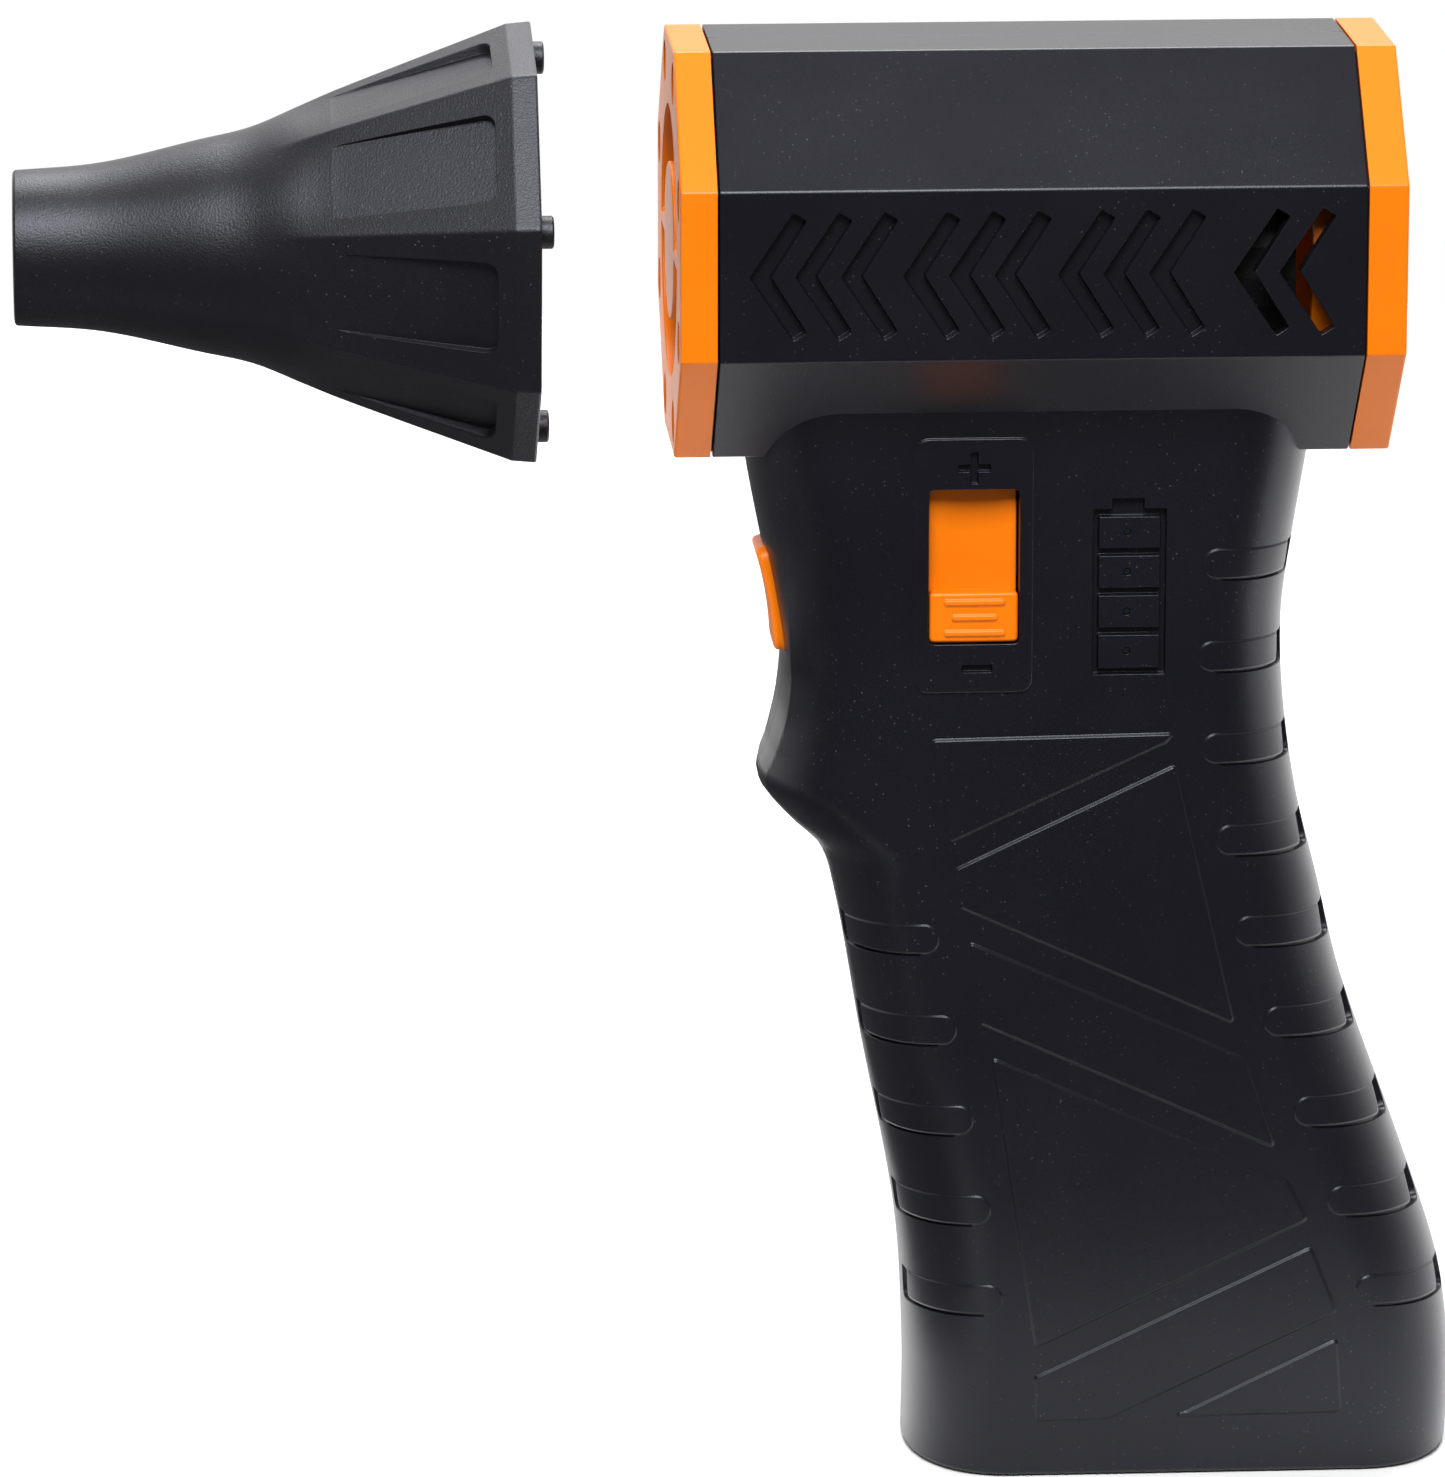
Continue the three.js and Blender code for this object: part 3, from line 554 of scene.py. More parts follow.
def normal_of(surface, uv, e=0.01):
    """Across both ways along the surface: the cross product of two short steps."""
    du, dv = np.array([e, 0]), np.array([0, e])
    return unit(np.cross(surface(uv + du) - surface(uv - du), surface(uv + dv) - surface(uv - dv)))


# %% [markdown]
# ## Rows of points along every edge
# Round each outline runs a handful of rows a few hundredths of a millimetre apart. Each row knows its lift
# and its lean, and the grid's points keep clear of them, so that the triangles beside an edge stay neat.

# %% Rows and free points


def all_rows(border, features, rim, turns):
    """For each row: its loop, the way out, its lift, its slope, and the feature that it belongs to."""
    rows = []

    def edge_rows(loop, profile, lean, own, scale=None):
        out = bisectors(loop)
        for away, lift, slope in profile:
            height = lift if scale is None else lift * scale(loop)
            steep = slope if scale is None else np.minimum(slope, 1.27 * np.abs(scale(loop)) / own.edge)
            steep = np.broadcast_to(steep, len(loop))[:, None]
            rows.append((loop + out * away, out * lean, np.broadcast_to(height, len(loop)), steep, own))

    edge_rows(border, quarter_round(rim, turns) if rim else [(0, 0, 0)], 1, None)
    for f in features:
        if f.hole:
            edge_rows(f.outline, quarter_round(f.edge) * [-1, 1, 1], -1, f)
        else:
            size = f.lift(f.outline.mean(0)[None])[0]
            edge_rows(f.outline, step_rows(size, f.edge), np.sign(size), f, f.lift)
    return rows


def free_points(grid, border, features, rim):
    """The grid's points inside the border that keep clear of every edge."""
    if grid is None:
        return np.zeros((0, 2))
    free = np.asarray(grid, float)
    free = free[inside(free, border)]
    free = free[~close_to(free, border, max(0.35, rim * 1.15))]
    for f in features:
        free = free[~close_to(free, f.outline, f.edge + 0.25)]
    return free


def triangulated(loops, free):
    """Points, triangles with the loops as edges, and the input point each came from, or -1. Also, where each
    loop starts in the input."""
    count = [len(loop) for loop in loops]
    first = np.cumsum([0] + count)
    edges = np.concatenate([s + np.stack([np.arange(n), (np.arange(n) + 1) % n], 1)
                            for s, n in zip(first, count)])
    given = [Vector(p) for p in np.concatenate([*loops, free])]
    flat, _, faces, origin, _, _ = delaunay_2d_cdt(given, edges.tolist(), [], 0, 1e-6, True)
    source = np.array([o[0] if o else -1 for o in origin])
    return np.array([tuple(p) for p in flat]), np.array(faces), source, first


# %% [markdown]
# ## From the drawing to the shell
# The flat triangles go to the skin and are lifted. An open sheet is done then; a shell also gets its inner
# wall and the narrow strip that joins the two along the border and round each hole.

# %% Heights, triangles and walls


def heights(flat, source, first, rows, features):
    """The lean and the lift of each point: from its own row, and from the features that it lies in."""
    total = max(first[-1], source.max() + 1)
    lean, lift = np.zeros((total, 2)), np.zeros(total)
    owner = np.full(total, -1)
    for (loop, way, height, slope, own), s in zip(rows, first):
        n = len(loop)
        lean[s:s + n], lift[s:s + n] = way * slope, height
        owner[s:s + n] = features.index(own) if own else -1
    lean = np.where(source[:, None] >= 0, lean[source], 0)
    lift, owner = np.where(source >= 0, lift[source], 0), np.where(source >= 0, owner[source], -1)
    for k, f in enumerate(features):
        if f.hole:
            continue
        held = inside(flat, f.outline) & (owner != k)
        lift[held] += f.lift(flat[held])
        sloped = inside(flat, f.outline + bisectors(f.outline) * -0.7 * f.edge)
        lean[sloped] -= f.slope(flat[sloped])
    return lean, lift


def kept_faces(flat, faces, border, features):
    """The triangles inside the border and outside the holes, all anticlockwise, none without area."""
    middle = flat[faces].mean(1)
    kept = inside(middle, border)
    for f in features:
        if f.hole:
            kept &= ~inside(middle, f.outline)
    faces = faces[kept]
    a, b, c = flat[faces[:, 0]], flat[faces[:, 1]], flat[faces[:, 2]]
    area = (b - a)[:, 0] * (c - a)[:, 1] - (b - a)[:, 1] * (c - a)[:, 0]
    return np.where(area[:, None] < 0, faces[:, ::-1], faces)[np.abs(area) > 1e-9]


def wrap(outline, surface, features=(), grid=None, wall=2.2, rim=0.15, gap=1.3, turns=(0, 35, 62, 84)):
    """A drawing wrapped onto a surface, as a closed shell of the given wall, or an open sheet if it is None.
    A point goes to surface(u, v) + lift x normal; its normal leans by slope x the way out of its edge."""
    border = divided(anticlockwise(outline), gap)
    rows = all_rows(border, features, rim, turns)
    free = free_points(grid, border, features, rim)
    flat, faces, source, first = triangulated([loop for loop, *_ in rows], free)
    lean, lift = heights(flat, source, first, rows, features)
    faces = kept_faces(flat, faces, border, features)
    skin, normal = surface(flat), normal_of(surface, flat)
    steps = np.linalg.norm(lean, axis=1, keepdims=True)
    way = unit(surface(flat + 0.03 * lean / (steps + 1e-12)) - skin) * (steps > 0)
    leaning = unit(normal + way * steps)
    points = skin + normal * lift[:, None]
    if wall is None:
        return Patch(*tidy(points, faces, leaning[faces]))
    depth = wall(flat) if callable(wall) else np.full(len(flat), float(wall))
    back = skin - normal * depth[:, None]
    pairs = faces[:, [0, 1, 1, 2, 2, 0]].reshape(-1, 2)
    _, which, times = np.unique(np.sort(pairs, 1), axis=0, return_inverse=True, return_counts=True)
    p, q = pairs[times[which.ravel()] == 1].T
    n = len(flat)
    side = np.concatenate([np.stack([p, p + n, q + n], 1), np.stack([p, q + n, q], 1)])
    triangles = np.concatenate([faces, faces[:, ::-1] + n, side])
    normals = np.concatenate([leaning[faces], -normal[faces[:, ::-1]], way[side % n]])
    return Patch(*tidy(np.concatenate([points, back]), triangles, normals))


def tidy(points, triangles, normals):
    """Only the points that a triangle uses."""
    used, where = np.unique(triangles, return_inverse=True)
    return points[used], where.reshape(triangles.shape), normals


# %% [markdown]
# ## Turned and swept surfaces
# Round pieces are a profile carried round the barrel's axis. Points that share a place are joined, and a
# corner's normal is the average of the faces round it that lean less than a chosen angle from its own.

# %% Shells from grids


def crisp(points, triangles, crease=32):
    """Joins doubled points and gives each corner the mean normal of its gentle neighbours."""
    _, first, where = np.unique(np.round(points, 4), axis=0, return_index=True, return_inverse=True)
    points, triangles = points[first], where.ravel()[triangles]
    a, b, c = triangles.T
    triangles = triangles[(a != b) & (b != c) & (c != a)]
    p = points[triangles]
    weighted = np.cross(p[:, 1] - p[:, 0], p[:, 2] - p[:, 0])
    own = unit(weighted)
    order = np.argsort(triangles.ravel(), kind="stable")
    counts = np.bincount(triangles.ravel(), minlength=len(points))
    starts = np.cumsum(counts) - counts
    vertex = triangles.ravel()[order]
    times = counts[vertex]
    corner = np.repeat(order, times)
    ahead = np.arange(len(corner)) - np.repeat(np.cumsum(times) - times, times)
    other = order[np.repeat(starts[vertex], times) + ahead]
    gentle = (own[corner // 3] * own[other // 3]).sum(1) > np.cos(np.radians(crease))
    total = np.zeros((triangles.size, 3))
    np.add.at(total, corner[gentle], weighted[other[gentle] // 3])
    return Patch(points, triangles, unit(total).reshape(-1, 3, 3))


def grid_triangles(rows, columns, closed=True):
    """Two triangles for each cell of a grid of points, its columns closed into a ring or not."""
    i, j = np.meshgrid(np.arange(rows - 1), np.arange(columns if closed else columns - 1), indexing="ij")
    a, b = i * columns + j, i * columns + (j + 1) % columns
    c, d = a + columns, b + columns
    return np.concatenate([np.stack(corners, -1).reshape(-1, 3) for corners in ((a, b, d), (a, d, c))])


def turned(profile, count=72, crease=32):
    """A profile of (x, radius) carried round the X axis: (x, r cos a, r sin a). It runs along its outside
    towards +X, so that its faces look out."""
    x, r = np.array(profile, float).T
    a = np.linspace(0, 2 * np.pi, count, endpoint=False)
    x_all = np.broadcast_to(x[:, None], (len(x), count))
    points = np.stack([x_all, np.outer(r, np.cos(a)), np.outer(r, np.sin(a))], -1)
    return crisp(points.reshape(-1, 3), grid_triangles(len(x), count), crease)


def about_x(degrees):
    c, s = np.cos(np.radians(degrees)), np.sin(np.radians(degrees))
    return np.array([[1, 0, 0], [0, c, -s], [0, s, c]])


MIRROR = np.diag([1, -1, 1])


def piece(name, patches, slot, body, stands_for=()):
    """One mesh object from patches in millimetres, dressed, riding on its body."""
    shift = np.cumsum([0] + [len(p.points) for p in patches])
    points = np.concatenate([p.points for p in patches]) * MM
    triangles = np.concatenate([p.triangles + s for p, s in zip(patches, shift)])
    normals = np.concatenate([p.normals for p in patches])
    mesh = bpy.data.meshes.new(name)
    mesh.from_pydata(points.tolist(), [], triangles.tolist())
    mesh.polygons.foreach_set("use_smooth", np.ones(len(triangles), bool))
    mesh.normals_split_custom_set(normals.reshape(-1, 3).tolist())
    mesh.materials.append(FINISHES[slot])
    made = bpy.data.objects.new(name, mesh)
    scene.collection.objects.link(made)
    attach(made, body)
    if stands_for:
        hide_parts(*stands_for)
    print(name, len(points), "points,", len(triangles), "triangles")
    return made


# %% [markdown]
# ## The grip's skin
# Each level of the grip is two flat sides joined by superellipse noses. Its front and rear edges are smooth
# curves through the design's own points. On the drawing, u runs along the flat side as x and on round the
# noses by arc length, and v is the height. Where the trigger finger lies, the front nose is replaced by a
# nearly flat band with a crisp crease.

# %% Driving sizes, the design's own
AXIS_Z = 165.9
APOTHEM = 27.0
SEAM = 0.0
SHELL_X = (-63.6, 20.5)
WALL = 2.2
HALF_WIDTH = (19.1, 18.3)
HIGH_Z = 110.0
NOSE = 13.5
BASE_ROUND = 0.8
FRONT_EDGE = [
    (0, -37.2), (14, -37.1), (32.4, -38.3), (57.2, -43), (76.7, -46.5), (84.4, -49), (89.2, -54),
    (93.5, -57), (98, -55.6), (104, -54), (110.5, -53.6), (125, -56.4), (136, -58.5), (150, -60.5)]
REAR_EDGE = [
    (0, 36.9), (6.6, 37.3), (15, 37.1), (26, 35.4), (41, 30.4), (65, 21.8), (79, 18.3), (91, 15.3),
    (104, 13.4), (116, 13), (127, 14.4), (137, 16), (150, 18)]
BUTTON_Z, BUTTON_HOLE = 118.2, (5.9, 7.27)          # middle, and half its width and height
GRIP_TOP = 140.0                                    # at the seam, inside the barrel's wall
SCREWS = [(-50, 131), (8, 131), (-48.5, 97), (8, 94), (31, 10)]
print("barrel", 2 * APOTHEM, "mm across flats, axis", AXIS_Z, "mm up, walls", WALL, "mm")

# %% [markdown]
# ## Smooth edges from a few points
# The front and rear edges pass through the design's own points. A cubic between each pair, with its slopes
# taken from the neighbours, passes through them all without the swings of one long polynomial.

# %% Curves through points


def along(pairs, t):
    """A smooth curve through (t, value) pairs, its slope at each the slope between its neighbours."""
    at, value = np.array(pairs, float).T
    k = np.arange(len(at))
    before, after = np.maximum(k - 1, 0), np.minimum(k + 1, len(at) - 1)
    slope = (value[after] - value[before]) / (at[after] - at[before])
    i = np.clip(np.searchsorted(at, t, "right") - 1, 0, len(at) - 2)
    span = at[i + 1] - at[i]
    s = (t - at[i]) / span
    h = s * s * (3 - 2 * s)
    ends = value[i] * (1 - h) + value[i + 1] * h
    return ends + span * (slope[i] * s * (1 - s) ** 2 - slope[i + 1] * s * s * (1 - s))


def soft_step(t, low, high):
    s = np.clip((t - low) / (high - low), 0, 1)
    return s * s * (3 - 2 * s)


print("front edge 100 mm up:", round(float(along(FRONT_EDGE, 100.0)), 2), "mm")


# %% [markdown]
# ## Noses and the finger's crease
# A superellipse of power 2.25 is a little squarer than a circle, as moulded grips are. Under the trigger
# finger the section changes: a parabola runs from the flat side to a crease, and a gently bowed band runs
# from the crease to the seam. The band's width and bow change with height, so the hook comes to a point.

# %% Grip surface
TURN = np.linspace(0, np.pi / 2, 3000)              # round a nose, from the flat side to the tip
NOSE_OUT, NOSE_ACROSS = np.sin(TURN) ** (2 / 2.25), np.cos(TURN) ** (2 / 2.25)
nose_steps = np.hypot(np.diff(NOSE_OUT) * NOSE, np.diff(NOSE_ACROSS) * HALF_WIDTH[1])
NOSE_SHARE = np.concatenate([[0], np.cumsum(nose_steps)]) / nose_steps.sum()
NOSE_ARC = nose_steps.sum()
CREASE_SHARE, CREASE_SOFT = 0.56, 0.022             # along the nose: where it is, and half its soft corner
CREASE_WIDTH = [(84, 6), (93, 7), (100, 9.5), (108, 11.5), (131, 12.5)]
CREASE_BACK = [(84, 1.2), (92, 0.7), (98, 0.5), (110, 0.3), (114.4, 0.7), (120.5, 1.4), (131, 2.6)]


def base_inset(z):
    """The quarter round between the side and the base."""
    low = np.clip(BASE_ROUND - z, 0, BASE_ROUND)
    return BASE_ROUND - np.sqrt(BASE_ROUND**2 - low**2)


def levels(z):
    inset = base_inset(z)
    half = np.interp(z, [0, HIGH_Z], HALF_WIDTH) - inset
    return along(FRONT_EDGE, z) + inset, along(REAR_EDGE, z) - inset, half


def creased_nose(share, z, half):
    """Side: a parabola from the flat to the crease. Front: a gentle bow. The corner between is eased."""
    back, width = along(CREASE_BACK, z), along(CREASE_WIDTH, z)
    t = np.clip(share / CREASE_SHARE, 0, 1)
    side_out = NOSE * (1 - ((1 - t) ** 2 + 2 * t * (1 - t) * 0.36)) - t * t * back
    side_across = half * ((1 - t) ** 2 + 2 * t * (1 - t)) + width * t * t
    across = width * (1 - (share - CREASE_SHARE) / (1 - CREASE_SHARE))
    front_out = NOSE - back * (across / width) ** 2
    ease = soft_step(share, CREASE_SHARE - CREASE_SOFT, CREASE_SHARE + CREASE_SOFT)
    return side_out + ease * (front_out - side_out), side_across + ease * (across - side_across)


def grip_skin(uv):
    """The left half. Flat side: (u, -half, v). Nose: the superellipse point at that share of its arc."""
    s, z = uv.T
    front, rear, half = levels(z)
    fore = np.clip((front + NOSE - s) / NOSE_ARC, 0, 1)
    aft = np.clip((s - rear + NOSE) / NOSE_ARC, 0, 1)
    share = np.maximum(fore, aft)
    out = np.interp(share, NOSE_SHARE, NOSE_OUT) * NOSE
    across = np.interp(share, NOSE_SHARE, NOSE_ACROSS) * half
    finger = soft_step(z, 85, 93) * (1 - soft_step(z, 113, 130)) * (fore > 0)
    crease_out, crease_across = creased_nose(fore, z, half)
    out = out + finger * (crease_out - out)
    across = across + finger * (crease_across - across)
    x = np.where(fore > 0, front + NOSE - out, np.where(aft > 0, rear - NOSE + out, s))
    return np.stack([x, -(SEAM + across * (half - SEAM) / half), np.maximum(z, 0)], 1)


# %% [markdown]
# ## Drawing on the grip
# Features are placed by x and height, but the drawing is unrolled, so each x has to be turned into a
# distance along the skin. There is no formula for that, and halving an interval finds it for all at once.

# %% Limits, outline and grid of the grip


def left_limit(z):
    return levels(z)[0] + NOSE - NOSE_ARC


def right_limit(z):
    return levels(z)[1] - NOSE + NOSE_ARC


def unrolled(value, z, axis, low, high):
    """Where along u the skin reaches an x (axis 0) or a depth from the middle (axis 1), by halving."""
    value, z, low, high = np.broadcast_arrays(*(np.asarray(q, float) for q in (value, z, low, high)))
    for _ in range(26):
        middle = (low + high) / 2
        reached = grip_skin(np.stack([middle, z], 1))[:, axis]
        early = reached < value if axis == 0 else -reached < value
        low, high = np.where(early, middle, low), np.where(early, high, middle)
    return (low + high) / 2


def grip_outline():
    """Base, rear seam, the contour just inside the barrel's wall, front seam with the button's notch."""
    z_side = np.concatenate([[0.0, 0.03, 0.12, 0.3, 0.55, 0.8], np.arange(1.6, 139.6, 1.2), [GRIP_TOP]])
    base = np.linspace(left_limit(np.zeros(1))[0], right_limit(np.zeros(1))[0], 90)
    base = np.stack([base, np.zeros(90)], 1)
    rear = np.stack([right_limit(z_side), z_side], 1)
    hidden = np.array([GRIP_TOP + 2.0])
    top_u = np.linspace(right_limit(hidden)[0], left_limit(hidden)[0], 120)
    depth = -grip_skin(np.stack([top_u, np.full(120, hidden[0])], 1))[:, 1]
    top = np.stack([top_u, GRIP_TOP + np.maximum(0, depth - APOTHEM * np.tan(np.pi / 8))], 1)
    half_y, half_z = BUTTON_HOLE
    notch = rounded([(0, BUTTON_Z - half_z), (half_y, BUTTON_Z - half_z), (half_y, BUTTON_Z + half_z),
                     (0, BUTTON_Z + half_z)], (0, 2, 2, 0))
    notch = divided(notch, 0.8)
    notch = notch[notch[:, 0] > 0.4]
    notch = notch[np.argsort(-np.arctan2(notch[:, 1] - BUTTON_Z, notch[:, 0]))]
    limit = left_limit(notch[:, 1])
    notch_u = unrolled(notch[:, 0], notch[:, 1], 1, limit, limit + 14)
    fore_z = z_side[::-1]
    above = fore_z[fore_z > BUTTON_Z + half_z + 0.3]
    below = fore_z[fore_z < BUTTON_Z - half_z - 0.3]
    ends = np.array([BUTTON_Z + half_z, BUTTON_Z - half_z])
    corner = np.stack([left_limit(ends), ends], 1)
    seam = [np.stack([left_limit(z), z], 1) for z in (above, below)]
    loop = np.concatenate([base, rear[1:], top, seam[0], corner[:1], np.stack([notch_u, notch[:, 1]], 1),
                           corner[1:], seam[1][:-1]])
    return without_repeats(loop, 0.02)


def grip_grid():
    """Columns that follow the noses and rows of equal height, closer at the crease and at the base."""
    beside_crease = CREASE_SHARE + CREASE_SOFT * np.array([-1, -0.5, 0.5, 1])
    round_nose = np.sort(np.concatenate([np.linspace(0, 1, 22), beside_crease]))
    z = np.concatenate([[0.12, 0.3, 0.55, 0.8, 1.6, 2.8], np.arange(4, 149, 1.5)])
    front, rear, _ = levels(z)
    flat = np.linspace(0, 1, 26)[1:-1]
    u = np.concatenate([front[:, None] + NOSE - NOSE_ARC * round_nose,
                        front[:, None] + NOSE + (rear - front - 2 * NOSE)[:, None] * flat,
                        rear[:, None] - NOSE + NOSE_ARC * np.linspace(0, 1, 24)], 1)
    return np.stack([u, np.broadcast_to(z[:, None], u.shape)], -1).reshape(-1, 2)


print("a nose measures", round(float(NOSE_ARC), 2), "mm round")

# %% [markdown]
# ## What is moulded into the grip
# Both sides carry raised panels, like struts of a truss, and finger pads that wrap round to the front and
# the rear, each with a groove under it that turns up at its outer end. The left side also has the speed
# slider's window in a raised surround with a plus and a minus, and an engraved battery gauge.

# %% Panels and pads
PANEL_RISE = 0.36
PANELS = [
    [(-35.0, 101.9), (-32.5, 88.1), (-4.0, 101.2), (-2.9, 102.35)],
    [(-31.8, 84.3), (-31.1, 79.1), (5.5, 62.6), (-2.8, 98.0)],
    [(-30, 74.3), (-28.2, 63.1), (11.2, 45.3), (6.9, 57.8)],
    [(-26.8, 58.3), (-20.7, 18.0), (15.6, 35.2), (13.1, 40.4)],
    [(-20.7, 13.9), (-20.6, 7.8), (-10.9, 7.95), (19.8, 22.3), (16.2, 31.3), (-18.6, 14.8)],
    [(-1.8, 8.05), (20.6, 8.3), (19.9, 18.4), (-0.2, 8.7)]]
PAD_PITCH = 12.5
REAR_PADS = [0.7, 0.1, 0.8, 2.8, 5.5, 9.6, 13.8, 18.5, 22.5]      # x of each round inner end, from the top
FRONT_PADS = [-34.0, -31.6, -29.3, -26.9, -25.2]
PAD_HALF, PAD_RISE = 1.95, 0.14
GROOVE_DEPTH = 1.3


def pad(inner, z_outer, lift_inner, side, bridge, slot):
    """A pad and its groove. side is 1 for the rear, where u grows outward, and -1 for the front. The groove
    ends a bridge away from the seam, in an upright slot of its own width."""
    z_inner = z_outer + lift_inner
    limits = [float(limit(np.array([z_inner]))[0]) for limit in (left_limit, right_limit)]
    start = side * float(unrolled([inner], [z_inner], 0, *limits)[0])
    end = max(side * limits[0], side * limits[1]) - bridge
    lip = end - slot - 0.4
    top, low = z_outer + PAD_HALF, z_outer - PAD_HALF
    turn = np.radians(np.linspace(90, 270, 15))
    nose = np.stack([start + PAD_HALF * (1 + np.cos(turn)), z_inner + PAD_HALF * np.sin(turn)], 1)
    bend = rounded([nose[-1], (lip, low + 0.25), (lip, top), nose[0]], (0, 1.3, 0.4, 0), 4)
    bend = np.roll(bend, -np.argmin(np.linalg.norm(bend - nose[-1], axis=1)), 0)[1:-1]
    outline = np.concatenate([nose, bend])
    root = np.array([start + PAD_HALF + 0.6, z_inner - PAD_HALF - 0.28])
    groove = rounded([root + [0, -0.12], (end, low - 0.75), (end, top), (end - slot, top),
                      (end - slot, low - 0.05), root + [0, 0.12]], (0, 1.5, 0.3, 0.3, 0.9, 0), 4)

    def deepening(uv):
        share = np.clip((side * uv[:, 0] - start) / (end - start), 0, 1)
        return -GROOVE_DEPTH * (0.15 + 0.85 * share**1.3)

    flip = np.array([side, 1])
    return [Feature(outline * flip, PAD_RISE, 0.18), Feature(groove * flip, deepening, 0.08)]


def side_features():
    panels = [Feature(rounded(p, 0.45, 3), PANEL_RISE, 0.28, gap=2.5) for p in PANELS]
    pads = [f for k, x in enumerate(REAR_PADS) for f in pad(x, 124.4 - PAD_PITCH * k, 0.8, 1, 4.6, 4.6)]
    pads += [f for k, x in enumerate(FRONT_PADS) for f in pad(x, 73.5 - PAD_PITCH * k, 1.2, -1, 3.4, 2.8)]
    return panels + pads


print(len(side_features()), "features on each side")

# %% [markdown]
# ## Controls on the left side
# The surround is a low raised frame round the slider's window. The plus and the minus are cut deep, so
# that they stay dark in any light. The gauge is a sunk battery shape with four raised cells in it, each
# with a small hole for its lamp.


# %% Slider surround, plus, minus and gauge
SLIDER_X = -29.6
WINDOW_X, WINDOW_Z = (-35.6, -23.6), (114.9, 135.7)
GAUGE_X, GAUGE_Z = (-13.9, -4.25), (110.5, 132.8)
CELL_X = (-13.15, -5.0)
CELL_Z = [(127.5, 131.75), (122.15, 126.5), (116.8, 121.15), (111.3, 115.8)]
LED_X, LED_Z = -9.4, (129.7, 124.35, 119, 113.7)


def plus_outline(x, z, arm, half):
    corners = [(arm, -half), (arm, half), (half, half), (half, arm), (-half, arm), (-half, half),
               (-arm, half), (-arm, -half), (-half, -half), (-half, -arm), (half, -arm), (half, -half)]
    return rounded(np.array(corners) + (x, z), 0.12, 2)


def control_features():
    surround = Feature(rectangle((-37.3, -21.9), (108.4, 142.5), 1.9), 0.4, 0.16)
    window = Feature(rectangle(WINDOW_X, WINDOW_Z, 0.9), hole=True, edge=0.14)
    plus = Feature(plus_outline(-29.65, 138.6, 2.1, 0.48), -0.9, 0.10)
    minus = Feature(rectangle((-31.2, -27.2), (111.1, 112.1), 0.12, 2), -0.9, 0.10)
    low, high = GAUGE_Z
    frame_line = [(GAUGE_X[0], low), (GAUGE_X[1], low), (GAUGE_X[1], high), (-7.2, high), (-7.2, high + 1.4),
                  (-11.4, high + 1.4), (-11.4, high), (GAUGE_X[0], high)]
    gauge = Feature(rounded(frame_line, 0.15, 2), -1.15, 0.12)
    cells = [Feature(rectangle(CELL_X, z, 0.15, 2), 1.12, 0.14) for z in CELL_Z]
    dots = [Feature(circle(LED_X, z, 0.52, 16), hole=True, edge=0.08) for z in LED_Z]
    return [surround, window, plus, minus, gauge, *cells, *dots]


print(len(control_features()), "features for the controls")


# %% [markdown]
# ## The barrel's skin
# The barrel is an octagonal tube with barely eased edges. Unrolled, half of it is a rectangle: u is x, and
# v runs from the seam below, round one side, to the seam on top. Nine blind arrow heads and two that are
# cut right through point along the air flow.

# %% Barrel surface
EDGE_ROUND = 0.75
SECTION_STEPS = 24000                               # of the sum along the unrolled section
flat_half = APOTHEM * np.tan(np.pi / 8)
trim = EDGE_ROUND * np.tan(np.pi / 8)
arc = EDGE_ROUND * np.pi / 4
stretches = [flat_half - SEAM - trim, arc, *[2 * flat_half - 2 * trim, arc] * 3, flat_half - SEAM - trim]
BREAKS = np.concatenate([[0], np.cumsum(stretches)])
FACING = np.radians([0, 0, 45, 45, 90, 90, 135, 135, 180, 180])
GIRTH = BREAKS[-1]
fine_v = np.linspace(0, GIRTH, SECTION_STEPS + 1)
fine_turn = np.interp(fine_v, BREAKS, FACING)
step_v = GIRTH / SECTION_STEPS
mean_turn = (fine_turn[1:] + fine_turn[:-1]) / 2
ROUND_Y = -SEAM - np.concatenate([[0], np.cumsum(np.cos(mean_turn))]) * step_v
ROUND_Z = -APOTHEM + np.concatenate([[0], np.cumsum(np.sin(mean_turn))]) * step_v
print("half the barrel unrolls to", round(float(GIRTH), 2), "mm")


def barrel_skin(uv):
    """The left half: (u, y(v), axis + z(v)), with y and z summed along the unrolled section."""
    x, v = uv.T
    return np.stack([x, np.interp(v, fine_v, ROUND_Y), AXIS_Z + np.interp(v, fine_v, ROUND_Z)], 1)


# %% [markdown]
# ## Arrows and openings of the barrel
# The arrows are sunk 1.45 mm. Below, and hidden once the grip is on, are an opening for the motor's leads
# and one that the slider's plate rises through.

# %% Barrel of one half


def arrow(tip, middle):
    """An arrow head pointing towards -X, drawn about the height of the axis."""
    half = [(0, 0), (5.6, 8.4), (7.3, 7.3), (2.7, 0)]
    lower = [(7.3, -7.3), (5.6, -8.4)]
    return rounded(np.array(half + lower) + (tip, middle), (0.3, 0.25, 0.25, 0.3, 0.25, 0.25), 3)


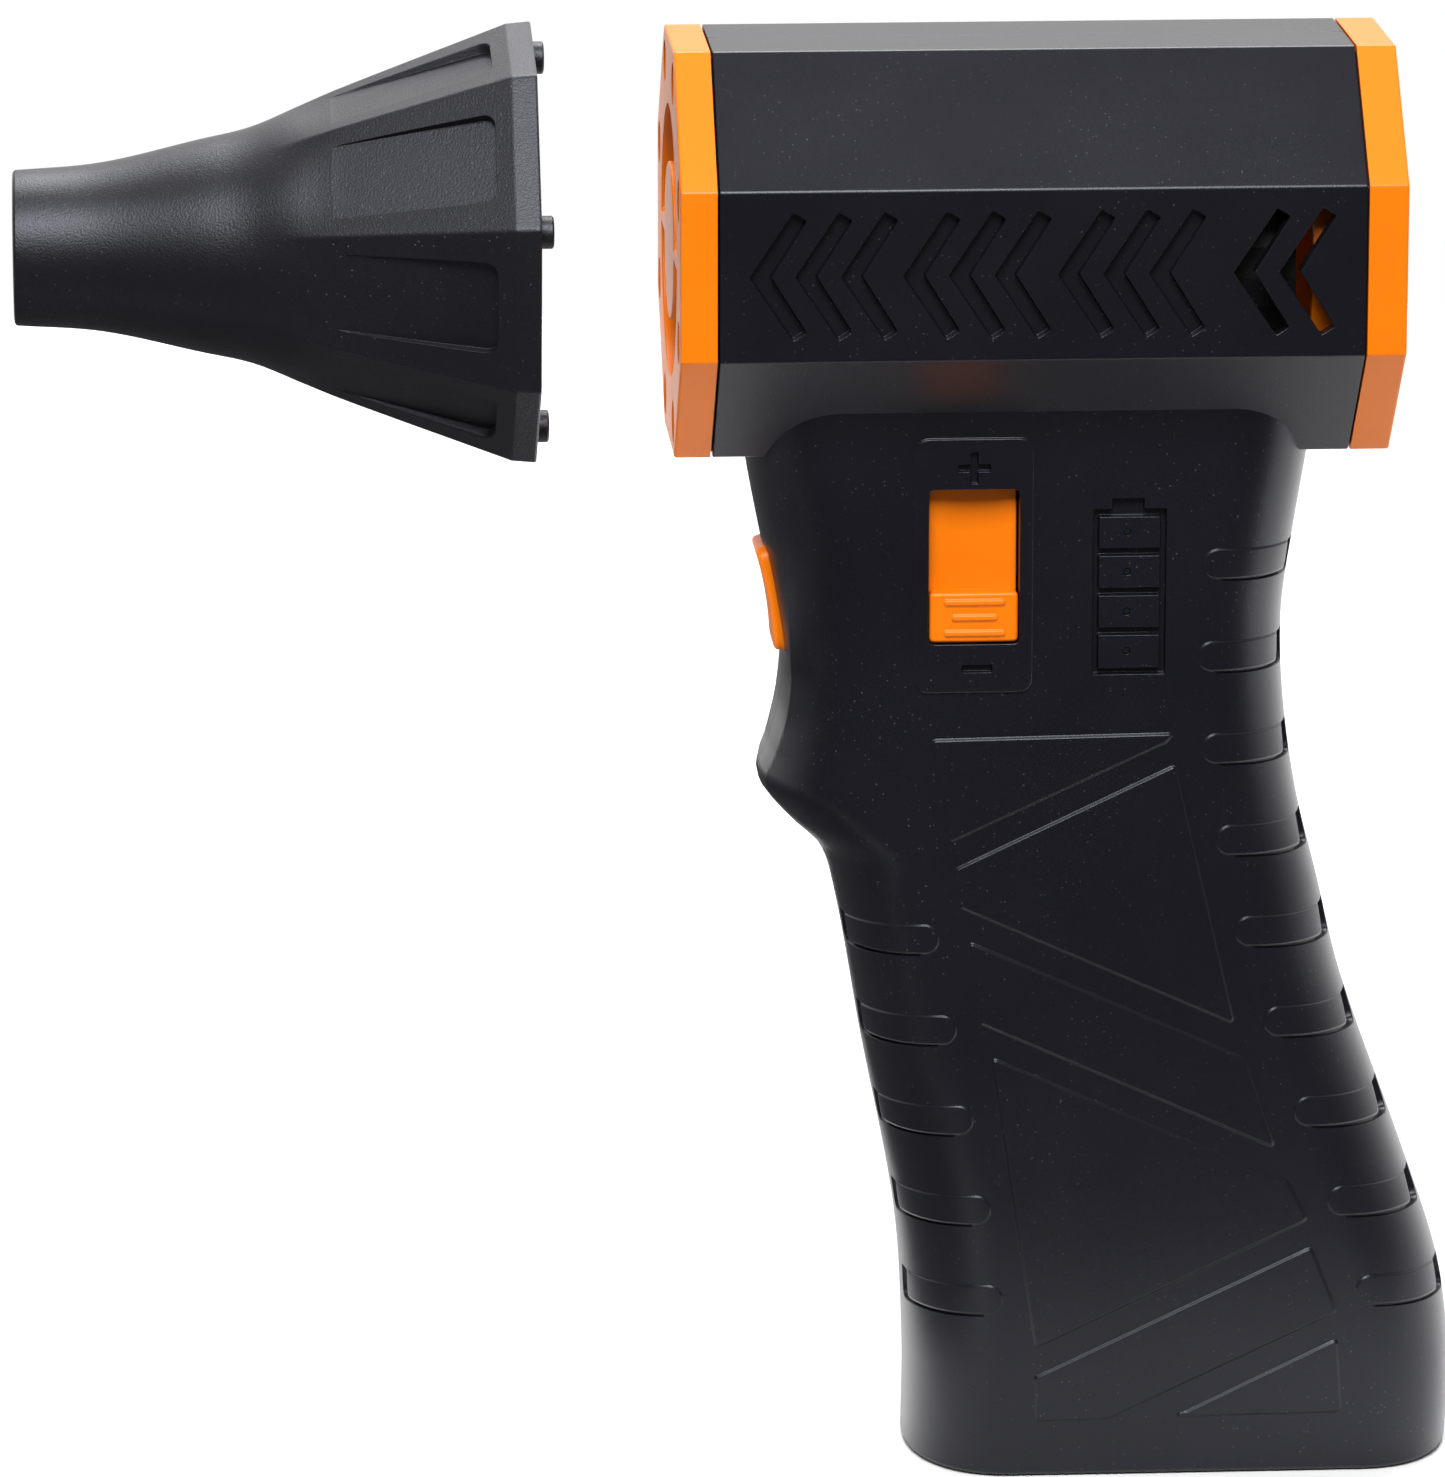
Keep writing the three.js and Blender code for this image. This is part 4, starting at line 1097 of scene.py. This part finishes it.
def barrel_half():
    x0, x1 = SHELL_X
    folds = np.concatenate([np.linspace(a, b, 4) for a, b in zip(BREAKS[1:-1:2], BREAKS[2:-1:2])])
    rows = np.sort(np.concatenate([folds, BREAKS[[0, -1]], np.arange(2.0, GIRTH - 1, 2.6)]))
    rows = rows[np.concatenate([[True], np.diff(rows) > 0.03])]
    near, far = (-50.5, -33.0), 5.5                  # an opening below for the motor's leads
    outline = np.concatenate([
        [(x0, 0), (near[0], 0), (near[0], far), (near[1], far), (near[1], 0), (x1, 0)],
        np.stack([np.full(len(rows) - 2, x1), rows[1:-1]], 1), [(x1, GIRTH), (x0, GIRTH)],
        np.stack([np.full(len(rows) - 2, x0), rows[-2:0:-1]], 1)])
    middle = GIRTH / 2
    blind = [t + 5.93 * k for t in (-59.7, -39.75, -19.65) for k in range(3)]
    marks = [Feature(arrow(t, middle), -1.45, 0.16) for t in blind]
    vents = [Feature(arrow(t, middle), hole=True, edge=0.15) for t in (3.2, 9.15)]
    slider_way = Feature(rectangle((-36.0, -23.2), (13.6, 20.3), 0.3), hole=True, edge=0.1)
    grid = np.stack(np.meshgrid(np.linspace(x0, x1, 34)[1:-1], rows[1:-1]), -1).reshape(-1, 2)
    return wrap(outline, barrel_skin, [*marks, *vents, slider_way], grid, WALL, 0.14, 3.0)


# %% [markdown]
# ## Base
# The base is flat, with an opening at the seam for the charging socket. It is the outline of the grip's
# lowest ring with half of the opening cut from it, and the other half is its mirror.

# %% Base plate of one half


def base_plate():
    """The ring at the base, filled, with half of the charging socket's opening at the seam."""
    u = np.linspace(left_limit(np.zeros(1))[0], right_limit(np.zeros(1))[0], 120)
    ring = grip_skin(np.stack([u, np.zeros(120)], 1))[:, :2]
    x, half_x, half_y = -31.9, 1.9, 4.8
    port = [(x + half_x, -SEAM), (x + half_x, -half_y + 1), (x + half_x - 1, -half_y),
            (x - half_x + 1, -half_y), (x - half_x, -half_y + 1), (x - half_x, -SEAM)]
    outline = np.concatenate([ring, port])
    flat = np.stack(np.meshgrid(np.arange(-36, 37, 4.0), np.arange(-18, 0, 4.0)), -1).reshape(-1, 2)

    def on_floor(uv):
        return np.stack([uv[:, 0], -uv[:, 1], 0 * uv[:, 0]], 1)

    return wrap(outline * [1, -1], on_floor, [], flat, 2.4, 0, 3.0)


# %% [markdown]
# ## Screw wells
# The screws go in from the right. Each head sits at the bottom of a blind tube that starts just under the
# skin, and the skin has a round hole over it.

# %% Screw wells of the right half
WELL_R, WELL_BORE_R = 3.6, 2.5


def screw_well(x, z):
    """A blind tube along Y whose floor the screw's head rests on."""
    rim = circle(x, z, WELL_R, 16)
    rim_u = unrolled(rim[:, 0], rim[:, 1], 0, left_limit(rim[:, 1]), right_limit(rim[:, 1]))
    out = float((-grip_skin(np.stack([rim_u, rim[:, 1]], 1))[:, 1]).min()) - 0.25
    section = [(8.0, 1.5), (8.0, WELL_R), (out, WELL_R), (out, WELL_BORE_R), (9.1, WELL_BORE_R), (9.1, 1.5),
               (8.0, 1.5)]
    well = turned(section[::-1], 32)
    to_y = np.array([[0, 1, 0], [1, 0, 0], [0, 0, 1]])     # x of the profile becomes y
    return well.moved(to_y, (x, 0, z))


def well_hole(x, z):
    loop = circle(x, z, WELL_BORE_R, 32)
    u = unrolled(loop[:, 0], loop[:, 1], 0, left_limit(loop[:, 1]), right_limit(loop[:, 1]))
    return Feature(np.stack([u, loop[:, 1]], 1), hole=True, edge=0.15)


print(len(SCREWS), "screw wells, the tallest at", max(z for _, z in SCREWS), "mm")


# %% [markdown]
# ## Putting the halves together
# A half is a grip, half a barrel and half a base, each a closed shell that overlaps its neighbour inside
# the wall. The right half's own grip has screw holes and no controls, and is mirrored with the rest. The
# left half waits for two thin lips that are made with the rings.

# %% The two casing halves
outline, grid = grip_outline(), grip_grid()
left_grip = wrap(outline, grip_skin, side_features() + control_features(), grid, WALL, 0.12)
right_grip = wrap(outline, grip_skin, side_features() + [well_hole(*s) for s in SCREWS], grid, WALL, 0.12)
half_barrel, half_base = barrel_half(), base_plate()
mirrored = [p.moved(MIRROR) for p in (right_grip, half_barrel, half_base)]
piece("right_casing", mirrored + [screw_well(*s) for s in SCREWS], "black_abs", "casing", ["right_shell"])

# %% [markdown]
# ## Octagons and rings
# Plates that close the barrel are drawn flat, about its axis, and face one way or the other along it.

# %% Ring helpers
RING_FRONT_X, RING_REAR_X = (-68.7, -63.9), (20.8, 26.0)
TO_AXIS = (0, 0, AXIS_Z)


def octagon(apothem, radius):
    turn = np.pi / 4 * (np.arange(8) + 0.5)
    reach = apothem / np.cos(np.pi / 8)
    return rounded(np.stack([reach * np.cos(turn), reach * np.sin(turn)], 1), radius, 4)


def facing_front(x):
    return lambda uv: np.stack([np.full(len(uv), x), -uv[:, 0], AXIS_Z + uv[:, 1]], 1)


def facing_rear(x):
    return lambda uv: np.stack([np.full(len(uv), x), uv[:, 0], AXIS_Z + uv[:, 1]], 1)


def sector(r0, r1, turn0, turn1, corner, steps=24):
    """A stretch of a ring between two radii and two angles."""
    out, back = np.linspace(turn0, turn1, steps), np.linspace(turn1, turn0, steps)
    loop = np.concatenate([np.stack([r * np.cos(turn), r * np.sin(turn)], 1)
                           for r, turn in ((r1, out), (r0, back))])
    sizes = np.zeros(2 * steps)
    sizes[[0, steps - 1, steps, 2 * steps - 1]] = corner
    return rounded(loop, sizes, 3)


def square_section(x, r):
    """A ring of rectangular section round the axis, between two places along it and two radii."""
    section = [(x[0], r[0]), (x[0], r[1]), (x[1], r[1]), (x[1], r[0]), (x[0], r[0])]
    return turned(section, 96).moved(np.eye(3), TO_AXIS)


print("a ring's outline has", len(octagon(APOTHEM, 0.5)), "points")


# %% [markdown]
# ## Outlet ring
# The orange rings are thick octagonal plates with eased edges. The front one carries the outlet, with a
# round hub held by two thin spokes, and eight sockets at its corners that take the nozzle's pegs.

# %% Outlet ring
OUTLET_R, HUB_R, SPOKE_HALF = 18.0, 10.5, 0.85
CORNER_R, SOCKET_R, SOCKET_DEPTH = 24.3, 2.7, 3.2
COLLAR_X, COLLAR_R = (-64.4, -58.5), (18.0, 22.0)
LATTICE = np.stack(np.meshgrid(np.arange(-26, 27, 3.0), np.arange(-26, 27, 3.0)), -1).reshape(-1, 2)


def front_ring():
    a = np.arcsin(SPOKE_HALF / OUTLET_R)
    inner = np.arcsin(SPOKE_HALF / HUB_R)
    turn = np.linspace(a, np.pi - a, 40)
    back = np.linspace(np.pi - inner, inner, 30)
    opening = np.concatenate([np.stack([OUTLET_R * np.cos(turn), OUTLET_R * np.sin(turn)], 1),
                              np.stack([HUB_R * np.cos(back), HUB_R * np.sin(back)], 1)])
    holes = [Feature(opening, hole=True, edge=0.3), Feature(-opening, hole=True, edge=0.3)]
    sockets = [Feature(circle(CORNER_R * np.cos(t), CORNER_R * np.sin(t), SOCKET_R, 32), -SOCKET_DEPTH, 0.12)
               for t in np.pi / 4 * (np.arange(8) + 0.5)]

    def depth(uv):
        """The hub and its spokes are thinner than the ring."""
        return np.where(np.hypot(*uv.T) < OUTLET_R - 0.01, 2.5, RING_FRONT_X[1] - RING_FRONT_X[0])

    face = facing_front(RING_FRONT_X[0])
    plate = wrap(octagon(APOTHEM, 0.5), face, holes + sockets, LATTICE, depth, 0.4, 2.0)
    return [plate, square_section(COLLAR_X, COLLAR_R)]


piece("outlet_ring", front_ring(), "orange_abs", "casing", ["front_ring"])

# %% [markdown]
# ## Intake ring and guard
# The rear ring is a plain plate with a wide hole and a sleeve, whose orange shows through the cut arrows.
# The guard behind it keeps fingers off the fan: three rows of slots in a thin disc.

# %% Intake ring and guard
SLEEVE_X, SLEEVE_R = (14.2, 21.2), (20.4, 22.0)
SLOT_ROWS = ((4.6, 8.2, 5), (9.8, 13.2, 8), (14.8, 18.0, 11))     # inner radius, outer radius, count


def rear_ring():
    hole = Feature(circle(0, 0, 20, 96), hole=True, edge=0.35)
    thickness = RING_REAR_X[1] - RING_REAR_X[0]
    plate = wrap(octagon(APOTHEM, 0.5), facing_rear(RING_REAR_X[1]), [hole], LATTICE, thickness, 0.4, 2.0)
    return [plate, square_section(SLEEVE_X, SLEEVE_R)]


def guard():
    """A disc with rows of arc-shaped slots, with a bar 1.6 mm wide between two slots."""
    slots = []
    for r0, r1, count in SLOT_ROWS:
        bar = 0.8 / r1
        for k in range(count):
            step = 2 * np.pi / count
            slot = sector(r0, r1, step * k + bar, step * (k + 1) - bar, 0.7)
            slots.append(Feature(slot, hole=True, edge=0.25))
    return [wrap(circle(0, 0, 19.7, 96), facing_rear(24.2), slots, None, 1.8, 0.3, 2.0)]


piece("intake_ring", rear_ring(), "orange_abs", "casing", ["rear_ring"])
piece("intake_guard", guard(), "black_abs", "casing", ["intake_grille"])

# %% [markdown]
# ## Lips, and the left half
# A real joint between casing and ring overlaps, so no light passes. Two thin octagonal lips on the left
# half do the same here.

# %% Lips and left casing
LIP_APOTHEM, LIP_BORE_R, LIP_WALL = 26.2, 22.2, 0.26
LIP_FRONT_X, LIP_REAR_X = -63.88, 20.78


def lips():
    """Thin octagonal lips in the joints with the two rings."""
    hole = Feature(circle(0, 0, LIP_BORE_R, 48), hole=True, edge=0.02)
    faces = facing_front(LIP_FRONT_X), facing_rear(LIP_REAR_X)
    return [wrap(octagon(LIP_APOTHEM, 0.5), face, [hole], None, LIP_WALL, 0, 3.0) for face in faces]


piece("left_casing", [left_grip, half_barrel, half_base, *lips()], "black_abs", "casing", ["left_shell"])

# %% [markdown]
# ## Nozzle
# The nozzle flares from a round mouth to an octagonal base, with a shallow pocket in each facet that runs
# out where the neck begins. One facet is wrapped like the casing and set round eight times; the lip, the
# inside and the base are a profile carried round the same columns, so both meet point to point.

# %% Nozzle surface
NOZZLE_BASE_X, RIM_X = -86.6, -89.9
NOZZLE_TURN = 9.0
NECK_X = (-123.0, -112.0)
FLARE = [(-155, 10.2), (-143.5, 11.1), (-130.5, 14), (-123.6, 15.6), (-117.3, 18.3), (-112.1, 20.5),
         (RIM_X, 28.9)]
ARC_MM = 24.0                                       # millimetres of v for a radian of turn
PEG_R = 2.15
facet_turn = np.array([22.5, 22.35, 22.1, 21.6, 20.5, 18.5, 15.5, 12, 8, 4])
FACET_TURNS = np.radians(np.concatenate([-facet_turn, [0], facet_turn[::-1]]))


def facet_reach(turn, x):
    """How far an octagon of corner radius 1 reaches at an angle from a facet's middle, its corners eased."""
    sharp = np.interp(x, NECK_X, [60, 260])
    both = np.cos(turn) ** sharp + np.cos(np.pi / 4 - np.abs(turn)) ** sharp
    flat = np.cos(np.pi / 8) / both ** (1 / sharp)
    round_share = 1 - soft_step(x, *NECK_X)
    return flat + round_share * (1 - flat)


def flare_radius(x):
    band = 28.9 + 0.3 * (x - RIM_X) / (NOZZLE_BASE_X - RIM_X)
    return np.where(x > RIM_X, band, along(FLARE, np.minimum(x, RIM_X)))


def facet_skin(uv):
    """One facet, facing -Y: (u, -r cos a, r sin a) with a = v / ARC_MM and r from the flare."""
    x, a = uv[:, 0], uv[:, 1] / ARC_MM
    r = flare_radius(x) * facet_reach(a, x)
    return np.stack([x, -r * np.cos(a), r * np.sin(a)], 1)


print("nozzle from", FLARE[0][1], "mm radius at the mouth to", FLARE[-1][1], "mm at the base")

# %% [markdown]
# ## Pockets
# Each facet has a shallow pocket, deepest beside the base, where its corners are round. Its floor rises to
# the skin towards the neck, so a height that grows along u makes it in one feature.

# %% Pocket
POCKET_DEPTH = 1.45


def pocket():
    """Deepest at the base end, where its corners are round, and run out at the neck."""
    base_x, neck_x = -92.3, -113.4
    wide, narrow = np.radians([13.4, 15.6]) * ARC_MM
    corners = [(neck_x, -narrow), (base_x, -wide), (base_x, wide), (neck_x, narrow)]

    def floor_height(uv):
        return -POCKET_DEPTH * np.clip((uv[:, 0] - neck_x) / (base_x - neck_x), 0, 1)

    return Feature(rounded(corners, (0.1, 1.9, 1.9, 0.1), 6), floor_height, 0.14)


print("pocket of", len(pocket().outline), "points, on", len(FACET_TURNS), "columns to a facet")

# %% [markdown]
# ## Facets, inside and pegs
# The outside is eight facets. The mouth, the inside and the base's groove for its rubber ring are one
# profile on the same columns of points. Four pegs on the base fit four of the outlet ring's sockets.

# %% Nozzle


def nozzle_facets():
    """One facet with its pocket, set round the axis eight times."""
    x_side = np.unique(np.concatenate([np.arange(-154.6, -90.6, 1.4), [-90.1, RIM_X, -89.7, -88.2, -86.9]]))
    v_row = FACET_TURNS * ARC_MM
    outline = np.concatenate([
        np.stack([x_side, np.full(len(x_side), v_row[0])], 1),
        np.stack([np.full(len(v_row) - 2, x_side[-1]), v_row[1:-1]], 1),
        np.stack([x_side[::-1], np.full(len(x_side), v_row[-1])], 1),
        np.stack([np.full(len(v_row) - 2, x_side[0]), v_row[-2:0:-1]], 1)])
    grid = np.stack(np.meshgrid(x_side[1:-1], v_row[1:-1]), -1).reshape(-1, 2)
    facet = wrap(outline, facet_skin, [pocket()], grid, None, 0, 5.0)
    return [facet.moved(about_x(NOZZLE_TURN + 45 * k)) for k in range(8)]


def nozzle_inside():
    """Rows of x, radius or None for the outside's own, and the inset from it: base, groove, inside, mouth."""
    rows = [(-86.9, None, 0), (-86.68, None, -0.08), (-86.6, None, -0.3), (-86.6, 21.9, 0), (-87.8, 21.9, 0),
            (-87.8, 19.7, 0), (-86.6, 19.7, 0), (-86.6, 18.7, 0), (-86.8, 18.5, 0), (-89.1, 18.5, 0),
            (-89.11, None, -1.8)]
    rows += [(x, None, -1.8) for x in (-92, -98, -105, -112, -118, -124, -130.5, -137, -143.5, -150)]
    rows += [(-154.8, None, -1.5), (-155, None, -1.25), (-155, None, -0.35), (-154.85, None, -0.1),
             (-154.6, None, 0)]
    turns = (np.arange(8)[:, None] * np.pi / 4 + FACET_TURNS[:-1]).ravel()
    local = np.tile(FACET_TURNS[:-1], 8)
    points = []
    for x, radius, inset in rows:
        at = np.full(len(turns), float(x))
        r = np.full(len(turns), radius) if radius else flare_radius(at) * facet_reach(local, at) + inset
        points.append(np.stack([at, -r * np.cos(turns), r * np.sin(turns)], 1))
    points = np.concatenate(points) @ about_x(NOZZLE_TURN).T
    return crisp(points, grid_triangles(len(rows), len(turns)), 34)


def nozzle_pegs():
    """Four short pegs with eased tips, at every second corner."""
    section = [(-88.0, 0), (-88.0, PEG_R), (-85.15, PEG_R), (-84.95, PEG_R - 0.25), (-84.9, PEG_R - 0.6),
               (-84.9, 0)]
    pegs = []
    for k in range(4):
        a = np.radians(180 + 22.5 + NOZZLE_TURN - 45 + 90 * k)
        at_corner = (0, CORNER_R * np.cos(a), CORNER_R * np.sin(a))
        pegs.append(turned(section, 28).moved(np.eye(3), at_corner))
    return pegs


def joined_patch(patches):
    shift = np.cumsum([0] + [len(p.points) for p in patches])
    return Patch(np.concatenate([p.points for p in patches]),
                 np.concatenate([p.triangles + s for p, s in zip(patches, shift)]),
                 np.concatenate([p.normals for p in patches]))


nozzle = [joined_patch(nozzle_facets()), nozzle_inside(), *nozzle_pegs()]
nozzle = [patch.moved(np.eye(3), TO_AXIS) for patch in nozzle]
piece("flared_nozzle", nozzle, "nozzle_nylon", "nozzle", ["nozzle"])

# %% [markdown]
# ## Speed slider
# The slider is a dished plate, longer than the window so that it fills it at both ends of its travel, and
# a thumb pad on it with three ribs.

# %% Speed slider
PLATE_X, PLATE_Z = (-35.4, -23.8), (100.2, 136.9)
PAD_Z = (115.05, 121.8)
RIBS = [(120.5, 8), (118.45, 6), (116.35, 8)]        # height, length
RIB_HALF, RIB_SHIFT = 0.36, 0.1
DISH_HALF = 5.4                                     # half the width of the hollow across the plate


FULL_ROUND = (0, 20, 40, 60, 80)                    # rows of a soft, well rounded edge, in degrees


def on_side(depth):
    """A surface that faces -Y at a depth that may vary."""
    return lambda uv: np.stack([uv[:, 0], -depth(uv), uv[:, 1]], 1)


def slider():
    lattice = np.stack(np.meshgrid(np.arange(-35, -23, 0.8), np.arange(101, 136.5, 2.5)), -1).reshape(-1, 2)
    dish = on_side(lambda uv: 15.75 - 0.75 * np.clip(1 - ((uv[:, 0] - SLIDER_X) / DISH_HALF) ** 2, 0, 1))
    plate = wrap(rectangle(PLATE_X, PLATE_Z, 0.8), dish, [], lattice, 1.0, 0.25, 1.2)
    face = on_side(lambda uv: 18.45 - 0.10 * ((uv[:, 0] - SLIDER_X) / DISH_HALF) ** 2)
    middle = SLIDER_X + RIB_SHIFT
    bars = [rectangle((middle - w / 2, middle + w / 2), (z - RIB_HALF, z + RIB_HALF), 0.35, 4)
            for z, w in RIBS]
    ribs = [Feature(bar, 0.34, 0.24, gap=1.0) for bar in bars]
    lattice = np.stack(np.meshgrid(np.arange(-34.4, -24, 1.2), np.arange(116, 121.5, 1.0)), -1).reshape(-1, 2)
    block = rectangle((-35.48, -23.72), PAD_Z, 0.7)
    pad_block = wrap(block, face, ribs, lattice, 3.2, 0.5, 1.0, FULL_ROUND)
    return [plate, pad_block]


piece("thumb_slider", slider(), "orange_abs", "speed_slider", ["speed_slider"])

# %% [markdown]
# ## Power button
# The button's face is hollowed for a fingertip, and a flange behind it keeps it in the casing. Both are
# drawn upright and leaned back to follow the front edge of the grip.

# %% Power button
BUTTON_X, BUTTON_LEAN = -55.05, np.arctan2(2.9, 15.4)
BUTTON_SIZE, BUTTON_PROUD = (11.0, 14.0), 1.3


def button_frame(patch):
    c, s = np.cos(BUTTON_LEAN), np.sin(BUTTON_LEAN)
    return patch.moved(np.array([[c, 0, -s], [0, 1, 0], [s, 0, c]]), (BUTTON_X, 0, BUTTON_Z))


def button():
    half_w, half_h = BUTTON_SIZE[0] / 2, BUTTON_SIZE[1] / 2
    outline = rectangle((-half_w, half_w), (-half_h, half_h), 2, 8)
    lattice = np.stack(np.meshgrid(np.arange(-5, 5.1, 0.8), np.arange(-6.5, 6.6, 0.8)), -1).reshape(-1, 2)

    def hollow(uv):
        bowl = np.clip(1 - (uv[:, 1] / half_h) ** 2, 0, 1)
        return np.stack([-BUTTON_PROUD + 0.55 * bowl, -uv[:, 0], uv[:, 1]], 1)

    def behind(uv):
        return np.stack([np.full(len(uv), 3.6), -uv[:, 0], uv[:, 1]], 1)

    cap = wrap(outline, hollow, [], lattice, 5.2, 0.7, 0.8, FULL_ROUND)
    flange = rectangle((-half_w, half_w), (-half_h - 1.3, half_h + 1.3), 2)
    rear = wrap(flange, behind, [], None, 0.8, 0.1, 2.0)
    return [button_frame(cap), button_frame(rear)]


piece("trigger_button", button(), "orange_abs", "power_button", ["power_button"])

# %% [markdown]
# ## Floor
# A plain pale floor under the grip's base, wide enough for every view.

# %% Floor
FLOOR_HALF = 0.8                                    # metres


def flat_sheet(name, x, y, z, finish):
    """A flat rectangle in metres that belongs to the stage, not to the object."""
    mesh = bpy.data.meshes.new(name)
    corners = [(x[0], y[0], z), (x[1], y[0], z), (x[1], y[1], z), (x[0], y[1], z)]
    mesh.from_pydata(corners, [], [(0, 1, 2, 3)])
    mesh.materials.append(finish.material)
    made = bpy.data.objects.new(name, mesh)
    scene.collection.objects.link(made)
    print(name, "covers", round((x[1] - x[0]) * (y[1] - y[0]), 2), "square metres")
    return made


pale = Finish("pale_floor", Roughness=0.9)
pale.set(Base_Color=pale.mix(pale.noise(3.0), (0.90, 0.90, 0.90), (0.93, 0.93, 0.93)))
flat_sheet("floor", (-FLOOR_HALF, FLOOR_HALF), (-FLOOR_HALF, FLOOR_HALF), 0, pale).location.z = -0.0002

# %% [markdown]
# ## Dark cards
# A white floor turns a black object grey, because the faces that look down mirror it. A product studio
# lays dark cards outside the view, and the faces mirror those instead. The camera never sees the cards
# here, and the second one is seen by mirror reflections only, so it takes no light from the floor.

# %% Dark cards


def dark_card(x, y, z, mirror_only=False):
    """A dark card just above the floor, seen by reflections and not by the camera."""
    f = Finish("dark_felt", Roughness=1.0, Specular_IOR_Level=0.0)
    f.set(Base_Color=f.mix(f.noise(400.0), (0.05, 0.05, 0.055), (0.08, 0.08, 0.085)))
    card = flat_sheet("dark_card", x, y, z, f)
    card.visible_camera = False
    card.visible_shadow = False
    card.visible_diffuse = not mirror_only


dark_card((-0.8, 0.8), (-0.8, -0.10), 0.002)
dark_card((-0.55, -0.07), (-0.09, 0.6), 0.003, mirror_only=True)
